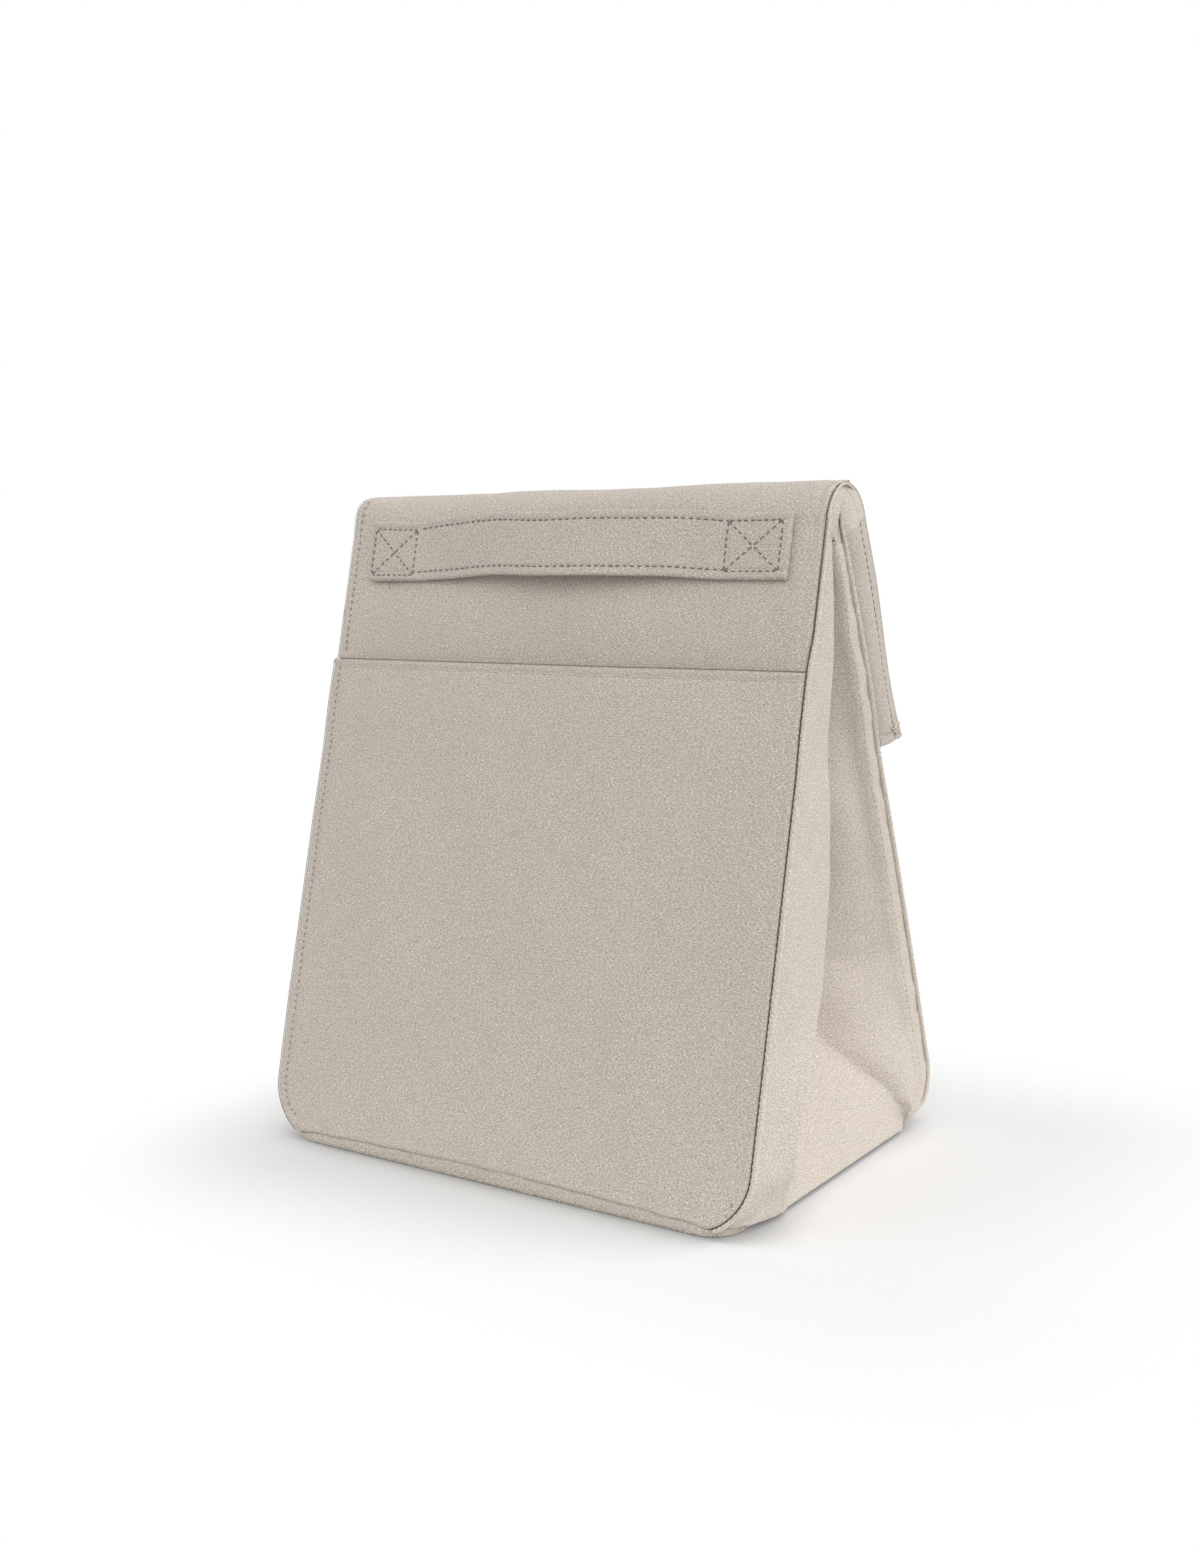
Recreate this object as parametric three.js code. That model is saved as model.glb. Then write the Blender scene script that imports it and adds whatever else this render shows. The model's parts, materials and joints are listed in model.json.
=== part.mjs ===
import * as THREE from "three";

// Insulated lunch bag: a soft tube with pleated sides whose top folds over to the rear.
// Millimetres, +Z up, +Y to the rear. The origin is the centre of the base, on the floor.

// Driving dimensions
const panelWidth = 240; // front and back panels, seam to seam
const frontFoot = 96.5; // front face ahead of the origin, at the floor
const rearFoot = 95.2; // back face behind the origin, at the floor
const foldHeight = 284.7; // top of the fold
const foldRadius = 20; // outside radius of the rolled fold
const foldFront = 36.5; // front face ahead of the origin, level with the fold's centre
const neckDepth = 16.6; // front face to back face, level with the fold's centre
const rearBulge = 3; // how far the back panel bellies out
const rearTuck = 34; // how far the back panel's foot turns in under the bag
const rearTuckHeight = 30;
const flapLength = 98; // folded flap, from the roll down to its mouth
const flapLean = 21; // degrees between the flap and upright
const mouthFlare = 6.5; // how far the mouth's outer layer curls away at its edge
const outerShare = 0.63; // share of the flap's depth that its outer side fold fills
const cornerRadius = 30; // lower corners of the front panel
const rearCornerRadius = 14; // lower corners of the back panel
const pleatApex = 88; // height where the side pleat closes on the lower triangle
const apexDepth = 49; // how far inside the seams the pleat's lowest point lies
const neckDrop = 44; // how far below the fold the gusset foam stops
const fabricThickness = 0.8;
const foamThickness = 2.2;
const linerThickness = 0.5;
const layGap = 0.3; // clearance between layers that touch
const baseRim = 5; // height of the turned-up edge of the base
const boardThickness = 2;
const baseInset = 6; // base edge inside the side seams
const baseCorner = 24; // front corners of the base
const baseRearCorner = 12; // rear corners of the base
const pocketDrop = 73.7; // top of the fold to the front pocket's edge
const pocketBelly = 7; // how far the pocket's edge stands off in the middle
const hemWidth = 11;
const strapWidth = 25;
const strapThickness = 2;
const strapInsetLeft = 12; // panel's left edge to the strap's end
const strapInsetRight = 15; // panel's right edge to the strap's end
const strapPatch = 28; // sewn length at each end of the strap
const strapDrop = 38.7; // top of the fold to the strap's lower edge at its ends
const strapBow = 13; // how far the strap stands off in the middle
const strapRise = 3.4; // how much higher the strap's middle lies
const pipingRadius = 1.15;
const gripWidth = 30; // hook and loop strips, across the bag
const gripHeight = 45;
const gripThickness = 1.2;
const gripOffset = 62; // strip centre from the middle of the bag
const creaseDrop = 2; // rear crease below the fold's centre
const creaseTail = 11; // fabric below the crease that still bends with it

// Derived sizes
const halfWidth = panelWidth / 2;
const foldZ = foldHeight - foldRadius;
const pocketHeight = foldHeight - pocketDrop;
const strapBase = foldHeight - strapDrop;
const frontSlope = (frontFoot - foldFront) / foldZ;
const neckRear = neckDepth - foldFront;
const rearSlope = (rearFoot - neckRear) / foldZ;
const frontSec = Math.hypot(1, frontSlope);
const rearSec = Math.hypot(1, rearSlope);
const foldY = -foldFront + foldRadius * frontSec;
const frontAngle = Math.atan(frontSlope);
const rearAngle = Math.atan(rearSlope);
const flapAngle = THREE.MathUtils.degToRad(flapLean);
const panelFoot = baseRim + layGap;

// Layers, each as its span inward from the outer surface
const foamStart = fabricThickness + layGap;
const linerStart = foamStart + foamThickness + layGap;
const layers = {
  fabric: [0, fabricThickness],
  foam: [foamStart, foamStart + foamThickness],
  liner: [linerStart, linerStart + linerThickness],
};
const stack = layers.liner[1];
const thinLiner = [foamStart, foamStart + linerThickness];

// The roll bends about [foldY, foldZ]; the crease between back panel and flap bends about its own centre.
const flapGap = 2 * gripThickness + 3 * layGap;
const creaseZ = foldZ - creaseDrop;
const panelTop = foldZ + (foldRadius - stack) * Math.sin(frontAngle) - 3 * layGap;
const neckTop = creaseZ - (flapGap / 2 + stack) * Math.sin(rearAngle) - layGap;
const flapStart = 16; // fabric past the roll that still bends with the fold

const colours = {
  fabric: 0xcdc4b8,
  shade: 0xc3b9ab,
  foam: 0xe9e7e2,
  liner: 0xc9ccce,
  board: 0xb9b2a6,
  grip: 0xbfb6a9,
};
const finishes = {
  fabric: [colours.fabric, 0.92, 0],
  trim: [colours.shade, 0.9, 0],
  foam: [colours.foam, 0.95, 0],
  liner: [colours.liner, 0.35, 0.4],
  board: [colours.board, 0.8, 0],
  grip: [colours.grip, 0.95, 0],
};

const bag = new THREE.Group();
bag.name = "lunch_bag";

function addMesh(name, geometry, finish) {
  const [color, roughness, metalness] = finishes[finish];
  const material = new THREE.MeshStandardMaterial({ color, roughness, metalness });
  const mesh = new THREE.Mesh(geometry, material);
  mesh.name = name;
  bag.add(mesh);
  return mesh;
}

function lerp(a, b, t) {
  return a + (b - a) * t;
}

function smooth(t) {
  const c = Math.min(1, Math.max(0, t));
  return c * c * (3 - 2 * c);
}

function onCircle(centre, radius, angle) {
  return [centre[0] + radius * Math.cos(angle), centre[1] + radius * Math.sin(angle)];
}

function steps(count) {
  return Array.from({ length: count + 1 }, (_, i) => i / count);
}

// Value at t of a list of [position, value] pairs, joined by straight lines.
function along(pairs, t) {
  for (let i = 1; i < pairs.length; i += 1) {
    if (t <= pairs[i][0] || i === pairs.length - 1) {
      const [t0, v0] = pairs[i - 1];
      const [t1, v1] = pairs[i];
      return lerp(v0, v1, Math.min(1, Math.max(0, (t - t0) / (t1 - t0))));
    }
  }
  return pairs[0][1];
}

// Closed solid between two grids of points with the same rows and columns.
function shell(outer, inner) {
  const rows = outer.length;
  const cols = outer[0].length;
  const size = rows * cols;
  const points = [];
  for (const grid of [outer, inner]) {
    for (const row of grid) {
      for (const p of row) points.push(p[0], p[1], p[2]);
    }
  }
  const index = [];
  const quad = (a, b, c, d) => index.push(a, b, c, a, c, d);
  const at = (i, j) => i * cols + j;
  for (let i = 0; i < rows - 1; i += 1) {
    for (let j = 0; j < cols - 1; j += 1) {
      quad(at(i, j), at(i, j + 1), at(i + 1, j + 1), at(i + 1, j));
      quad(size + at(i, j), size + at(i + 1, j), size + at(i + 1, j + 1), size + at(i, j + 1));
    }
  }
  for (let j = 0; j < cols - 1; j += 1) {
    quad(at(0, j + 1), at(0, j), size + at(0, j), size + at(0, j + 1));
    quad(at(rows - 1, j), at(rows - 1, j + 1), size + at(rows - 1, j + 1), size + at(rows - 1, j));
  }
  for (let i = 0; i < rows - 1; i += 1) {
    quad(at(i, 0), at(i + 1, 0), size + at(i + 1, 0), size + at(i, 0));
    quad(at(i + 1, cols - 1), at(i, cols - 1), size + at(i, cols - 1), size + at(i + 1, cols - 1));
  }
  return facingOut(points, index);
}

function facingOut(points, index) {
  let volume = 0;
  const corner = (k) => new THREE.Vector3(points[3 * k], points[3 * k + 1], points[3 * k + 2]);
  for (let i = 0; i < index.length; i += 3) {
    const [a, b, c] = [corner(index[i]), corner(index[i + 1]), corner(index[i + 2])];
    volume += a.dot(b.cross(c));
  }
  if (volume < 0) {
    for (let i = 0; i < index.length; i += 3) {
      [index[i + 1], index[i + 2]] = [index[i + 2], index[i + 1]];
    }
  }
  const geometry = new THREE.BufferGeometry();
  geometry.setAttribute("position", new THREE.Float32BufferAttribute(points, 3));
  geometry.setIndex(index);
  geometry.computeVertexNormals();
  return geometry;
}

// Outer faces of the body
function frontY(z) {
  return -frontFoot + frontSlope * z;
}

function rearY(z) {
  const belly = rearBulge * Math.sin(Math.PI * Math.min(1, Math.max(0, z / foldZ)));
  const turn = Math.max(0, 1 - z / rearTuckHeight);
  return rearFoot - rearSlope * z + belly - rearTuck * turn ** 2;
}

function cornerWidth(z, radius) {
  const rise = Math.min(radius, Math.max(0, z - panelFoot));
  const cut = radius - Math.sqrt(radius ** 2 - (radius - rise) ** 2);
  return halfWidth - cut;
}

// Panels: rows climb, columns cross the bag, and each layer steps inward by its own depth.
const cornerRows = [0, 0.04, 0.14, 0.3, 0.55, 1].map((t) => panelFoot + cornerRadius * t);

function panelRows(top) {
  const upper = [0.12, 0.25, 0.4, 0.55, 0.7, 0.85, 1];
  return [...cornerRows, ...upper.map((t) => lerp(panelFoot + cornerRadius, top, t))];
}

function frontLayer([near, far]) {
  const rows = panelRows(panelTop);
  const face = (depth) => rows.map((z) => {
    const w = cornerWidth(z, cornerRadius) - near;
    return [-1, 1].map((u) => [u * w, frontY(z) + depth * frontSec, z]);
  });
  return shell(face(near), face(far));
}

function backLayer([near, far]) {
  const rows = panelRows(neckTop);
  const face = (depth) => rows.map((z) => {
    const w = cornerWidth(z, rearCornerRadius) - near;
    return [-1, 1].map((u) => [u * w, rearY(z) - depth * rearSec, z]);
  });
  return shell(face(near), face(far));
}

// Side gussets: at each height a front lobe, a pleat drawn in to its valley, and the rear half.
const lobeShare = [
  [0.02, 0.19], [0.17, 0.226], [0.276, 0.303], [0.336, 0.324], [0.69, 0.394], [0.9, 0.47], [1, 0.6],
];
const sideLength = frontFoot + rearFoot;
const legClearance = 2 * layGap + thinLiner[1] + stack * rearSec;
const foamTop = foldZ - neckDrop; // above it the pleats lie flat in the neck

function thinning(z) {
  return smooth((z - foamTop - 2) / 14);
}

function sideSection(z) {
  const front = frontY(z);
  const rear = rearY(z);
  const low = Math.min(1, Math.max(0, (z - panelFoot) / (pleatApex - panelFoot)));
  const edgeX = halfWidth - baseInset * Math.max(0, 1 - z / cornerRadius);
  const ridge = [edgeX + 1, lerp(front, rear, along(lobeShare, z / foldZ))];
  const lobe = ridge[1] - front;
  const apexLeg = (sideLength - lobe) / 2;
  const half = (rear - ridge[1]) / 2;
  const depth = Math.sqrt(Math.max(apexLeg ** 2 - half ** 2, 1));
  const valleyX = halfWidth - lerp(depth * 0.8, depth, smooth((z - pleatApex) / 60));
  const valleyY = lerp(ridge[1], rear, 0.3);
  const opening = 2.2;
  const clearance = legClearance + (stack - thinLiner[1]) * (1 - thinning(z));
  let valleyFront = [valleyX, Math.max(valleyY - opening, front + clearance)];
  let valleyRear = [valleyX, Math.min(valleyY + opening, rear - clearance)];
  if (low < 1) {
    const apex = [halfWidth - apexDepth, valleyY];
    const x = lerp(edgeX - 1, apex[0], low);
    valleyFront = [x, lerp(ridge[1] + 18, apex[1] - opening, low)];
    valleyRear = [x, lerp(rear - 26, apex[1] + opening, low)];
  }
  const endX = cornerWidth(z, rearCornerRadius);
  const turn = Math.max(0, 1 - (z - panelFoot) / cornerRadius);
  const knee = [endX, rear - clearance - 0.9];
  return {
    start: [cornerWidth(z, cornerRadius), front],
    shoulder: [edgeX + lerp(0.8, -1.5, turn), front + foamStart * frontSec + lerp(0.35 * lobe, 4, turn)],
    ridge,
    valleyFront,
    valleyRear,
    knee,
    end: [endX, rear],
  };
}

// Points round one corner of a section, eased over the given distance.
function rounded(before, corner, after, reach, count) {
  const toward = (target) => {
    const length = Math.hypot(target[0] - corner[0], target[1] - corner[1]);
    const t = Math.min(reach, 0.45 * length) / Math.max(length, 1e-6);
    return [lerp(corner[0], target[0], t), lerp(corner[1], target[1], t)];
  };
  const a = toward(before);
  const b = toward(after);
  const points = [];
  for (let i = 0; i <= count; i += 1) {
    const t = i / count;
    points.push([0, 1].map((k) => (1 - t) ** 2 * a[k] + 2 * t * (1 - t) * corner[k] + t ** 2 * b[k]));
  }
  return points;
}

function between(a, b, count) {
  const points = [];
  for (let i = 1; i <= count; i += 1) {
    const t = i / (count + 1);
    points.push([lerp(a[0], b[0], t), lerp(a[1], b[1], t)]);
  }
  return points;
}

function sidePath(z) {
  const s = sideSection(z);
  const start = [s.start[0], s.start[1] + foamStart * frontSec];
  const end = [s.end[0], s.end[1] - foamStart * rearSec];
  return [
    start,
    ...rounded(start, s.shoulder, s.ridge, 24, 3),
    ...rounded(s.shoulder, s.ridge, s.valleyFront, 7, 4),
    ...rounded(s.ridge, s.valleyFront, s.valleyRear, 4, 2),
    ...rounded(s.valleyFront, s.valleyRear, s.knee, 4, 2),
    ...between(s.valleyRear, s.knee, 2),
    ...rounded(s.valleyRear, s.knee, end, 5, 2),
    end,
  ];
}

// The path moved inward by a depth with mitred corners, kept behind the panels' layers at both ends.
// Points held back at an end stay a little apart, so that no edge shrinks to nothing.
const pointGap = 0.12;

function insetPath(path, depth, reach, z) {
  const low = frontY(z) + (reach + layGap) * frontSec;
  const high = rearY(z) - (reach + layGap) * rearSec;
  const last = path.length - 1;
  return mitred(path, depth).map(([x, y], i) => {
    const head = low + pointGap * Math.min(3, i);
    const tail = high - pointGap * Math.min(3, last - i);
    return [x, Math.min(tail, Math.max(head, y))];
  });
}

function mitred(path, depth) {
  const heading = (a, b) => {
    const length = Math.hypot(b[0] - a[0], b[1] - a[1]);
    return [(b[0] - a[0]) / length, (b[1] - a[1]) / length];
  };
  return path.map((p, i) => {
    const before = heading(path[Math.max(0, i - 1)], path[Math.max(1, i)]);
    const after = heading(path[Math.min(path.length - 2, i)], path[Math.min(path.length - 1, i + 1)]);
    const sum = [before[0] + after[0], before[1] + after[1]];
    const length = Math.max(Math.hypot(...sum), 0.2);
    const stretch = depth / Math.max(length / 2, 0.5);
    return [p[0] - (stretch * sum[1]) / length, p[1] + (stretch * sum[0]) / length];
  });
}

const sideRows = [
  ...cornerRows,
  ...[0.25, 0.5, 0.75, 1].map((t) => lerp(panelFoot + cornerRadius, pleatApex, t)),
  ...[0.17, 0.4, 0.7, 1].map((t) => lerp(pleatApex, foamTop, t)),
  ...[0.35, 0.7, 1].map((t) => lerp(foamTop, neckTop, t)),
];

function sideLayer(side, reach, spanAt, top) {
  const heights = sideRows.filter((z) => z <= top + 0.001);
  const face = (which) => heights.map((z) => {
    const span = spanAt(z);
    const path = insetPath(sidePath(z), span[which], reach, z);
    return path.map(([x, y]) => [side * x, y, z]);
  });
  return shell(face(0), face(1));
}

function linerSpan(z) {
  return [0, 1].map((k) => lerp(layers.liner[k], thinLiner[k], thinning(z)));
}

addMesh("front_panel", frontLayer(layers.fabric), "fabric");
addMesh("front_foam", frontLayer(layers.foam), "foam");
addMesh("front_liner", frontLayer(layers.liner), "liner");
addMesh("back_panel", backLayer(layers.fabric), "fabric");
addMesh("back_foam", backLayer(layers.foam), "foam");
addMesh("back_liner", backLayer(layers.liner), "liner");
for (const [name, side] of [["right", 1], ["left", -1]]) {
  addMesh(`${name}_gusset`, sideLayer(side, layers.fabric[1], () => layers.fabric, neckTop), "fabric");
  addMesh(`${name}_gusset_foam`, sideLayer(side, layers.foam[1], () => layers.foam, foamTop), "foam");
  addMesh(`${name}_gusset_liner`, sideLayer(side, stack, linerSpan, neckTop), "liner");
}

// Base: a tray of outer fabric, a stiffener board, foam and liner
function baseOutline(inset) {
  const x = halfWidth - baseInset - inset;
  const front = frontY(baseRim) + inset + 0.5;
  const rear = rearY(baseRim) - inset - 0.5;
  const r = Math.max(baseCorner - inset, 1);
  const rr = Math.max(baseRearCorner - inset, 1);
  const corners = [
    [x - r, front + r, r, -90], [x - rr, rear - rr, rr, 0],
    [rr - x, rear - rr, rr, 90], [r - x, front + r, r, 180],
  ];
  return corners.flatMap(([cx, cy, radius, from]) => steps(6).map((t) => (
    onCircle([cx, cy], radius, THREE.MathUtils.degToRad(from + 90 * t))
  )));
}

function ring(inset, z) {
  return baseOutline(inset).map(([x, y]) => [x, y, z]);
}

// Solid made of stacked closed rings, each fanned shut at its two ends.
function stackedRings(rings) {
  const n = rings[0].length;
  const points = rings.flat(2);
  const index = [];
  for (let k = 0; k < rings.length - 1; k += 1) {
    for (let i = 0; i < n; i += 1) {
      const j = (i + 1) % n;
      index.push(k * n + i, k * n + j, (k + 1) * n + j);
      index.push(k * n + i, (k + 1) * n + j, (k + 1) * n + i);
    }
  }
  const last = (rings.length - 1) * n;
  for (let i = 1; i < n - 1; i += 1) {
    index.push(0, i + 1, i);
    index.push(last, last + i, last + i + 1);
  }
  return facingOut(points, index);
}

const boardTop = fabricThickness + layGap + boardThickness;
const baseFoamTop = boardTop + layGap + foamThickness;
const trayInset = fabricThickness + layGap;
const paddingInset = trayInset + stack + 6; // inside the walls' layers, clear of the gussets' rear corners
addMesh("base_panel", stackedRings([
  ring(1.6, 0), ring(0, 1.6), ring(0, baseRim), ring(fabricThickness, baseRim),
  ring(fabricThickness, fabricThickness + 1), ring(fabricThickness + 0.8, fabricThickness),
]), "fabric");
addMesh("base_board", stackedRings([
  ring(trayInset + 1.2, fabricThickness + layGap), ring(trayInset + 1.2, boardTop),
]), "board");
addMesh("base_foam", stackedRings([
  ring(paddingInset, boardTop + layGap), ring(paddingInset, baseFoamTop),
]), "foam");
addMesh("base_liner", stackedRings([
  ring(paddingInset, baseFoamTop + layGap),
  ring(paddingInset, baseFoamTop + layGap + linerThickness),
]), "liner");

// Sheets that run across the whole bag: a path in the side view, given a thickness and a width.
function crossSheet(path, [near, far], away, w) {
  const face = (depth) => mitred(path, away * depth).map(([y, z]) => [-1, 1].map((u) => [u * w, y, z]));
  return shell(face(near), face(far));
}

// Outer layer of the flap: over the roll, then straight down the rear with a flared mouth.
const foldCentre = [foldY, foldZ];
const rollAngles = [Math.PI - frontAngle, flapAngle];
const flapDown = [Math.sin(flapAngle), -Math.cos(flapAngle)];
const flapOut = [Math.cos(flapAngle), Math.sin(flapAngle)];

function outerPoint(s) {
  const [y, z] = onCircle(foldCentre, foldRadius, flapAngle);
  const flare = mouthFlare * Math.max(0, (s / flapLength - 0.55) / 0.45) ** 2;
  return [y + s * flapDown[0] + flare * flapOut[0], z + s * flapDown[1] + flare * flapOut[1]];
}

// Inner layer of the flap: against the back panel, down to the same mouth.
const creaseOut = [Math.cos(rearAngle), Math.sin(rearAngle)];
const creaseCentre = [
  rearY(creaseZ) + (flapGap / 2) * creaseOut[0],
  creaseZ + (flapGap / 2) * creaseOut[1],
];
const mouthZ = outerPoint(flapLength)[1] - 1;

function innerPoint(z, off) {
  return [rearY(z) + off * creaseOut[0], z + off * creaseOut[1]];
}

const hemDepth = 3;
const rollPath = [
  ...steps(10).map((t) => onCircle(foldCentre, foldRadius, lerp(rollAngles[0], rollAngles[1], t))),
  outerPoint(flapStart / 2),
  outerPoint(flapStart),
];
const outerRows = steps(7).map((t) => lerp(flapStart + layGap, flapLength - hemDepth - layGap, t));
const outerPath = outerRows.map(outerPoint);
const innerTop = creaseZ - creaseTail;
const creaseAngles = [Math.PI + rearAngle, rearAngle];
const innerRows = steps(5).map((t) => lerp(innerTop - layGap, mouthZ + hemDepth + layGap, t));
const innerPath = innerRows.map((z) => innerPoint(z, flapGap));
const creasePath = [
  ...steps(6).map((t) => onCircle(creaseCentre, flapGap / 2, lerp(creaseAngles[0], creaseAngles[1], t))),
  innerPoint((creaseZ + innerTop) / 2, flapGap),
  innerPoint(innerTop, flapGap),
];
for (const [layer, finish] of [["fabric", "fabric"], ["foam", "foam"], ["liner", "liner"]]) {
  const w = halfWidth - layers[layer][0];
  addMesh(`top_fold_${layer}`, crossSheet(rollPath, layers[layer], -1, w), finish);
  addMesh(`crease_${layer}`, crossSheet(creasePath, layers[layer], 1, w), finish);
  addMesh(`flap_outer_${layer}`, crossSheet(outerPath, layers[layer], -1, w), finish);
  addMesh(`flap_inner_${layer}`, crossSheet(innerPath, layers[layer], 1, w), finish);
}
const outerHem = [flapLength - hemDepth, flapLength].map(outerPoint);
const innerHem = [mouthZ + hemDepth, mouthZ].map((z) => innerPoint(z, flapGap));
addMesh("mouth_hem_outer", crossSheet(outerHem, [0, stack], -1, halfWidth), "fabric");
addMesh("mouth_hem_inner", crossSheet(innerHem, [0, stack], 1, halfWidth), "fabric");

// Flap gussets: each side has two folds that turn in from the edge and lie flat between the layers.
const halfReach = 70;

// The narrowest way between the flap's two layers, less a clearance
function sideDepthFor(outer, inner) {
  const [a, b] = [inner[0], inner[inner.length - 1]];
  const length = Math.hypot(b[0] - a[0], b[1] - a[1]);
  const gaps = outer.map(([y, z]) => ((y - a[0]) * (a[1] - b[1]) - (z - a[1]) * (a[0] - b[0])) / length);
  return Math.min(...gaps) - 3 * layGap;
}

const sideDepth = sideDepthFor(outerPath, innerPath);

function gussetHalf(side, path, away, depth) {
  const t = fabricThickness;
  const section = [
    [halfWidth, foamStart, halfWidth - t, foamStart],
    [halfWidth + 0.6, depth * 0.5, halfWidth + 0.6 - t, depth * 0.5],
    [halfWidth + 0.2, depth * 0.85, halfWidth - t, depth * 0.8],
    [halfWidth - 2, depth, halfWidth - 2.4, depth - t],
    [halfWidth - halfReach, depth, halfWidth - halfReach, depth - t],
  ];
  const face = (k) => {
    const columns = section.map((c) => mitred(path, away * c[2 * k + 1]));
    return path.map((_, i) => section.map((c, j) => [side * c[2 * k], ...columns[j][i]]));
  };
  return shell(face(0), face(1));
}

// Ends of the roll: a crescent of gusset fabric between the roll and the crease.
function foldEnd(side) {
  const rows = steps(8).map((t) => [
    onCircle(foldCentre, foldRadius - foamStart, lerp(rollAngles[0], rollAngles[1], t)),
    onCircle(creaseCentre, flapGap / 2 + foamStart, lerp(creaseAngles[0], creaseAngles[1], t)),
  ]);
  const face = (x) => rows.map((row) => row.map(([y, z]) => [side * x, y, z]));
  return shell(face(halfWidth), face(halfWidth - fabricThickness));
}

for (const [name, side] of [["right", 1], ["left", -1]]) {
  addMesh(`flap_gusset_outer_${name}`, gussetHalf(side, outerPath, -1, sideDepth * outerShare), "fabric");
  addMesh(`flap_gusset_inner_${name}`, gussetHalf(side, innerPath, 1, sideDepth * (1 - outerShare)), "fabric");
  addMesh(`fold_gusset_${name}`, foldEnd(side), "fabric");
}

// Hook and loop strips that hold the flap down
function grip(side, [near, far]) {
  const x = side * gripOffset;
  const centre = lerp(mouthZ, creaseZ, 0.34);
  const rows = steps(4).map((t) => centre + gripHeight * (t - 0.5));
  const face = (off) => rows.map((z) => [-0.5, 0.5].map((u) => [x + u * gripWidth, ...innerPoint(z, off)]));
  return shell(face(near), face(far));
}

const loopSpan = [layGap, layGap + gripThickness];
const hookSpan = [2 * layGap + gripThickness, 2 * layGap + 2 * gripThickness];
for (const [name, side] of [["right", 1], ["left", -1]]) {
  addMesh(`loop_strip_${name}`, grip(side, loopSpan), "grip");
  addMesh(`hook_strip_${name}`, grip(side, hookSpan), "grip");
}

// Front pocket: its lower part lies on the panel, its hemmed edge stands off in the middle.
const hemLift = fabricThickness + layGap;

function pocketFace(z, u, depth) {
  const lift = hemLift * smooth((z - pocketHeight + 4 * hemWidth) / (2.4 * hemWidth));
  const belly = pocketBelly * (1 - u * u) * smooth((z - 0.25 * pocketHeight) / (0.75 * pocketHeight));
  return frontY(z) - (layGap + fabricThickness + lift - depth) * frontSec - belly;
}

const across = steps(8).map((t) => 2 * t - 1);
const pocketRows = [
  ...cornerRows,
  ...steps(7).slice(1).map((t) => lerp(panelFoot + cornerRadius, pocketHeight, t)),
];

function pocketSheet(rows, near, far) {
  const face = (depth) => rows.map((z) => {
    const w = cornerWidth(z, cornerRadius);
    return across.map((u) => [u * w, pocketFace(z, u, depth), z]);
  });
  return shell(face(near), face(far));
}

const hemRows = steps(2).map((t) => lerp(pocketHeight - hemWidth, pocketHeight - 0.4, t));
addMesh("front_pocket", pocketSheet(pocketRows, 0, fabricThickness), "fabric");
addMesh("pocket_hem", pocketSheet(hemRows, hemLift, hemLift + fabricThickness), "fabric");

// Carry strap: a sewn patch at each end and a bowed middle between them
function strapSheet(x0, x1, count, bow, rise) {
  const columns = steps(count).map((t) => {
    const wave = Math.sin(Math.PI * t);
    return [lerp(x0, x1, t), bow * wave ** 1.5, rise * wave];
  });
  const face = (depth) => [0, 1].map((v) => columns.map(([x, out, up]) => {
    const z = strapBase + v * strapWidth + up;
    return [x, frontY(z) - (layGap + depth) * frontSec - out, z];
  }));
  return shell(face(strapThickness), face(0));
}

const strapLeft = strapInsetLeft - halfWidth;
const strapRight = halfWidth - strapInsetRight;
const leftSewn = strapLeft + strapPatch;
const rightSewn = strapRight - strapPatch;
addMesh("strap_patch_left", strapSheet(strapLeft, leftSewn, 1, 0, 0), "fabric");
addMesh("strap_patch_right", strapSheet(rightSewn, strapRight, 1, 0, 0), "fabric");
addMesh("carry_strap", strapSheet(leftSewn + layGap, rightSewn - layGap, 20, strapBow, strapRise), "fabric");

// Piping along the four upright seams: an eight-sided tube with a ring at each of the panels' rows
function pipe(points) {
  const rings = points.map((p, i) => {
    const before = new THREE.Vector3(...points[Math.max(0, i - 1)]);
    const after = new THREE.Vector3(...points[Math.min(points.length - 1, i + 1)]);
    const heading = after.sub(before).normalize();
    const out = new THREE.Vector3(0, 1, 0).cross(heading).normalize();
    const other = heading.clone().cross(out);
    return steps(8).slice(1).map((t) => {
      const [a, b] = onCircle([0, 0], pipingRadius, 2 * Math.PI * t);
      return p.map((v, k) => v + a * out.getComponent(k) + b * other.getComponent(k));
    });
  });
  return stackedRings(rings);
}

function seamPoints(side, radius, faceY, forward, rows) {
  const off = pipingRadius + layGap;
  return rows.map((z) => {
    const drop = Math.min(1, Math.max(0, (panelFoot + radius - z) / radius));
    const x = cornerWidth(z, radius) + off * Math.sqrt(1 - drop ** 2);
    return [side * x, faceY(z) + forward, z - off * drop];
  });
}

const pipingShift = pipingRadius - fabricThickness;
for (const [name, side] of [["right", 1], ["left", -1]]) {
  const front = seamPoints(side, cornerRadius, frontY, -pipingShift, panelRows(panelTop).slice(2));
  const rear = seamPoints(side, rearCornerRadius, rearY, pipingShift, panelRows(neckTop).slice(2));
  addMesh(`front_piping_${name}`, pipe(front), "trim");
  addMesh(`rear_piping_${name}`, pipe(rear), "trim");
}

export default bag;
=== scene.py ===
"""Insulated lunch bag: cloth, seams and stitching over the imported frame.

Shapes are worked out in millimetres and written to the meshes in metres. +Y is to the rear.
"""

import json
import math

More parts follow.
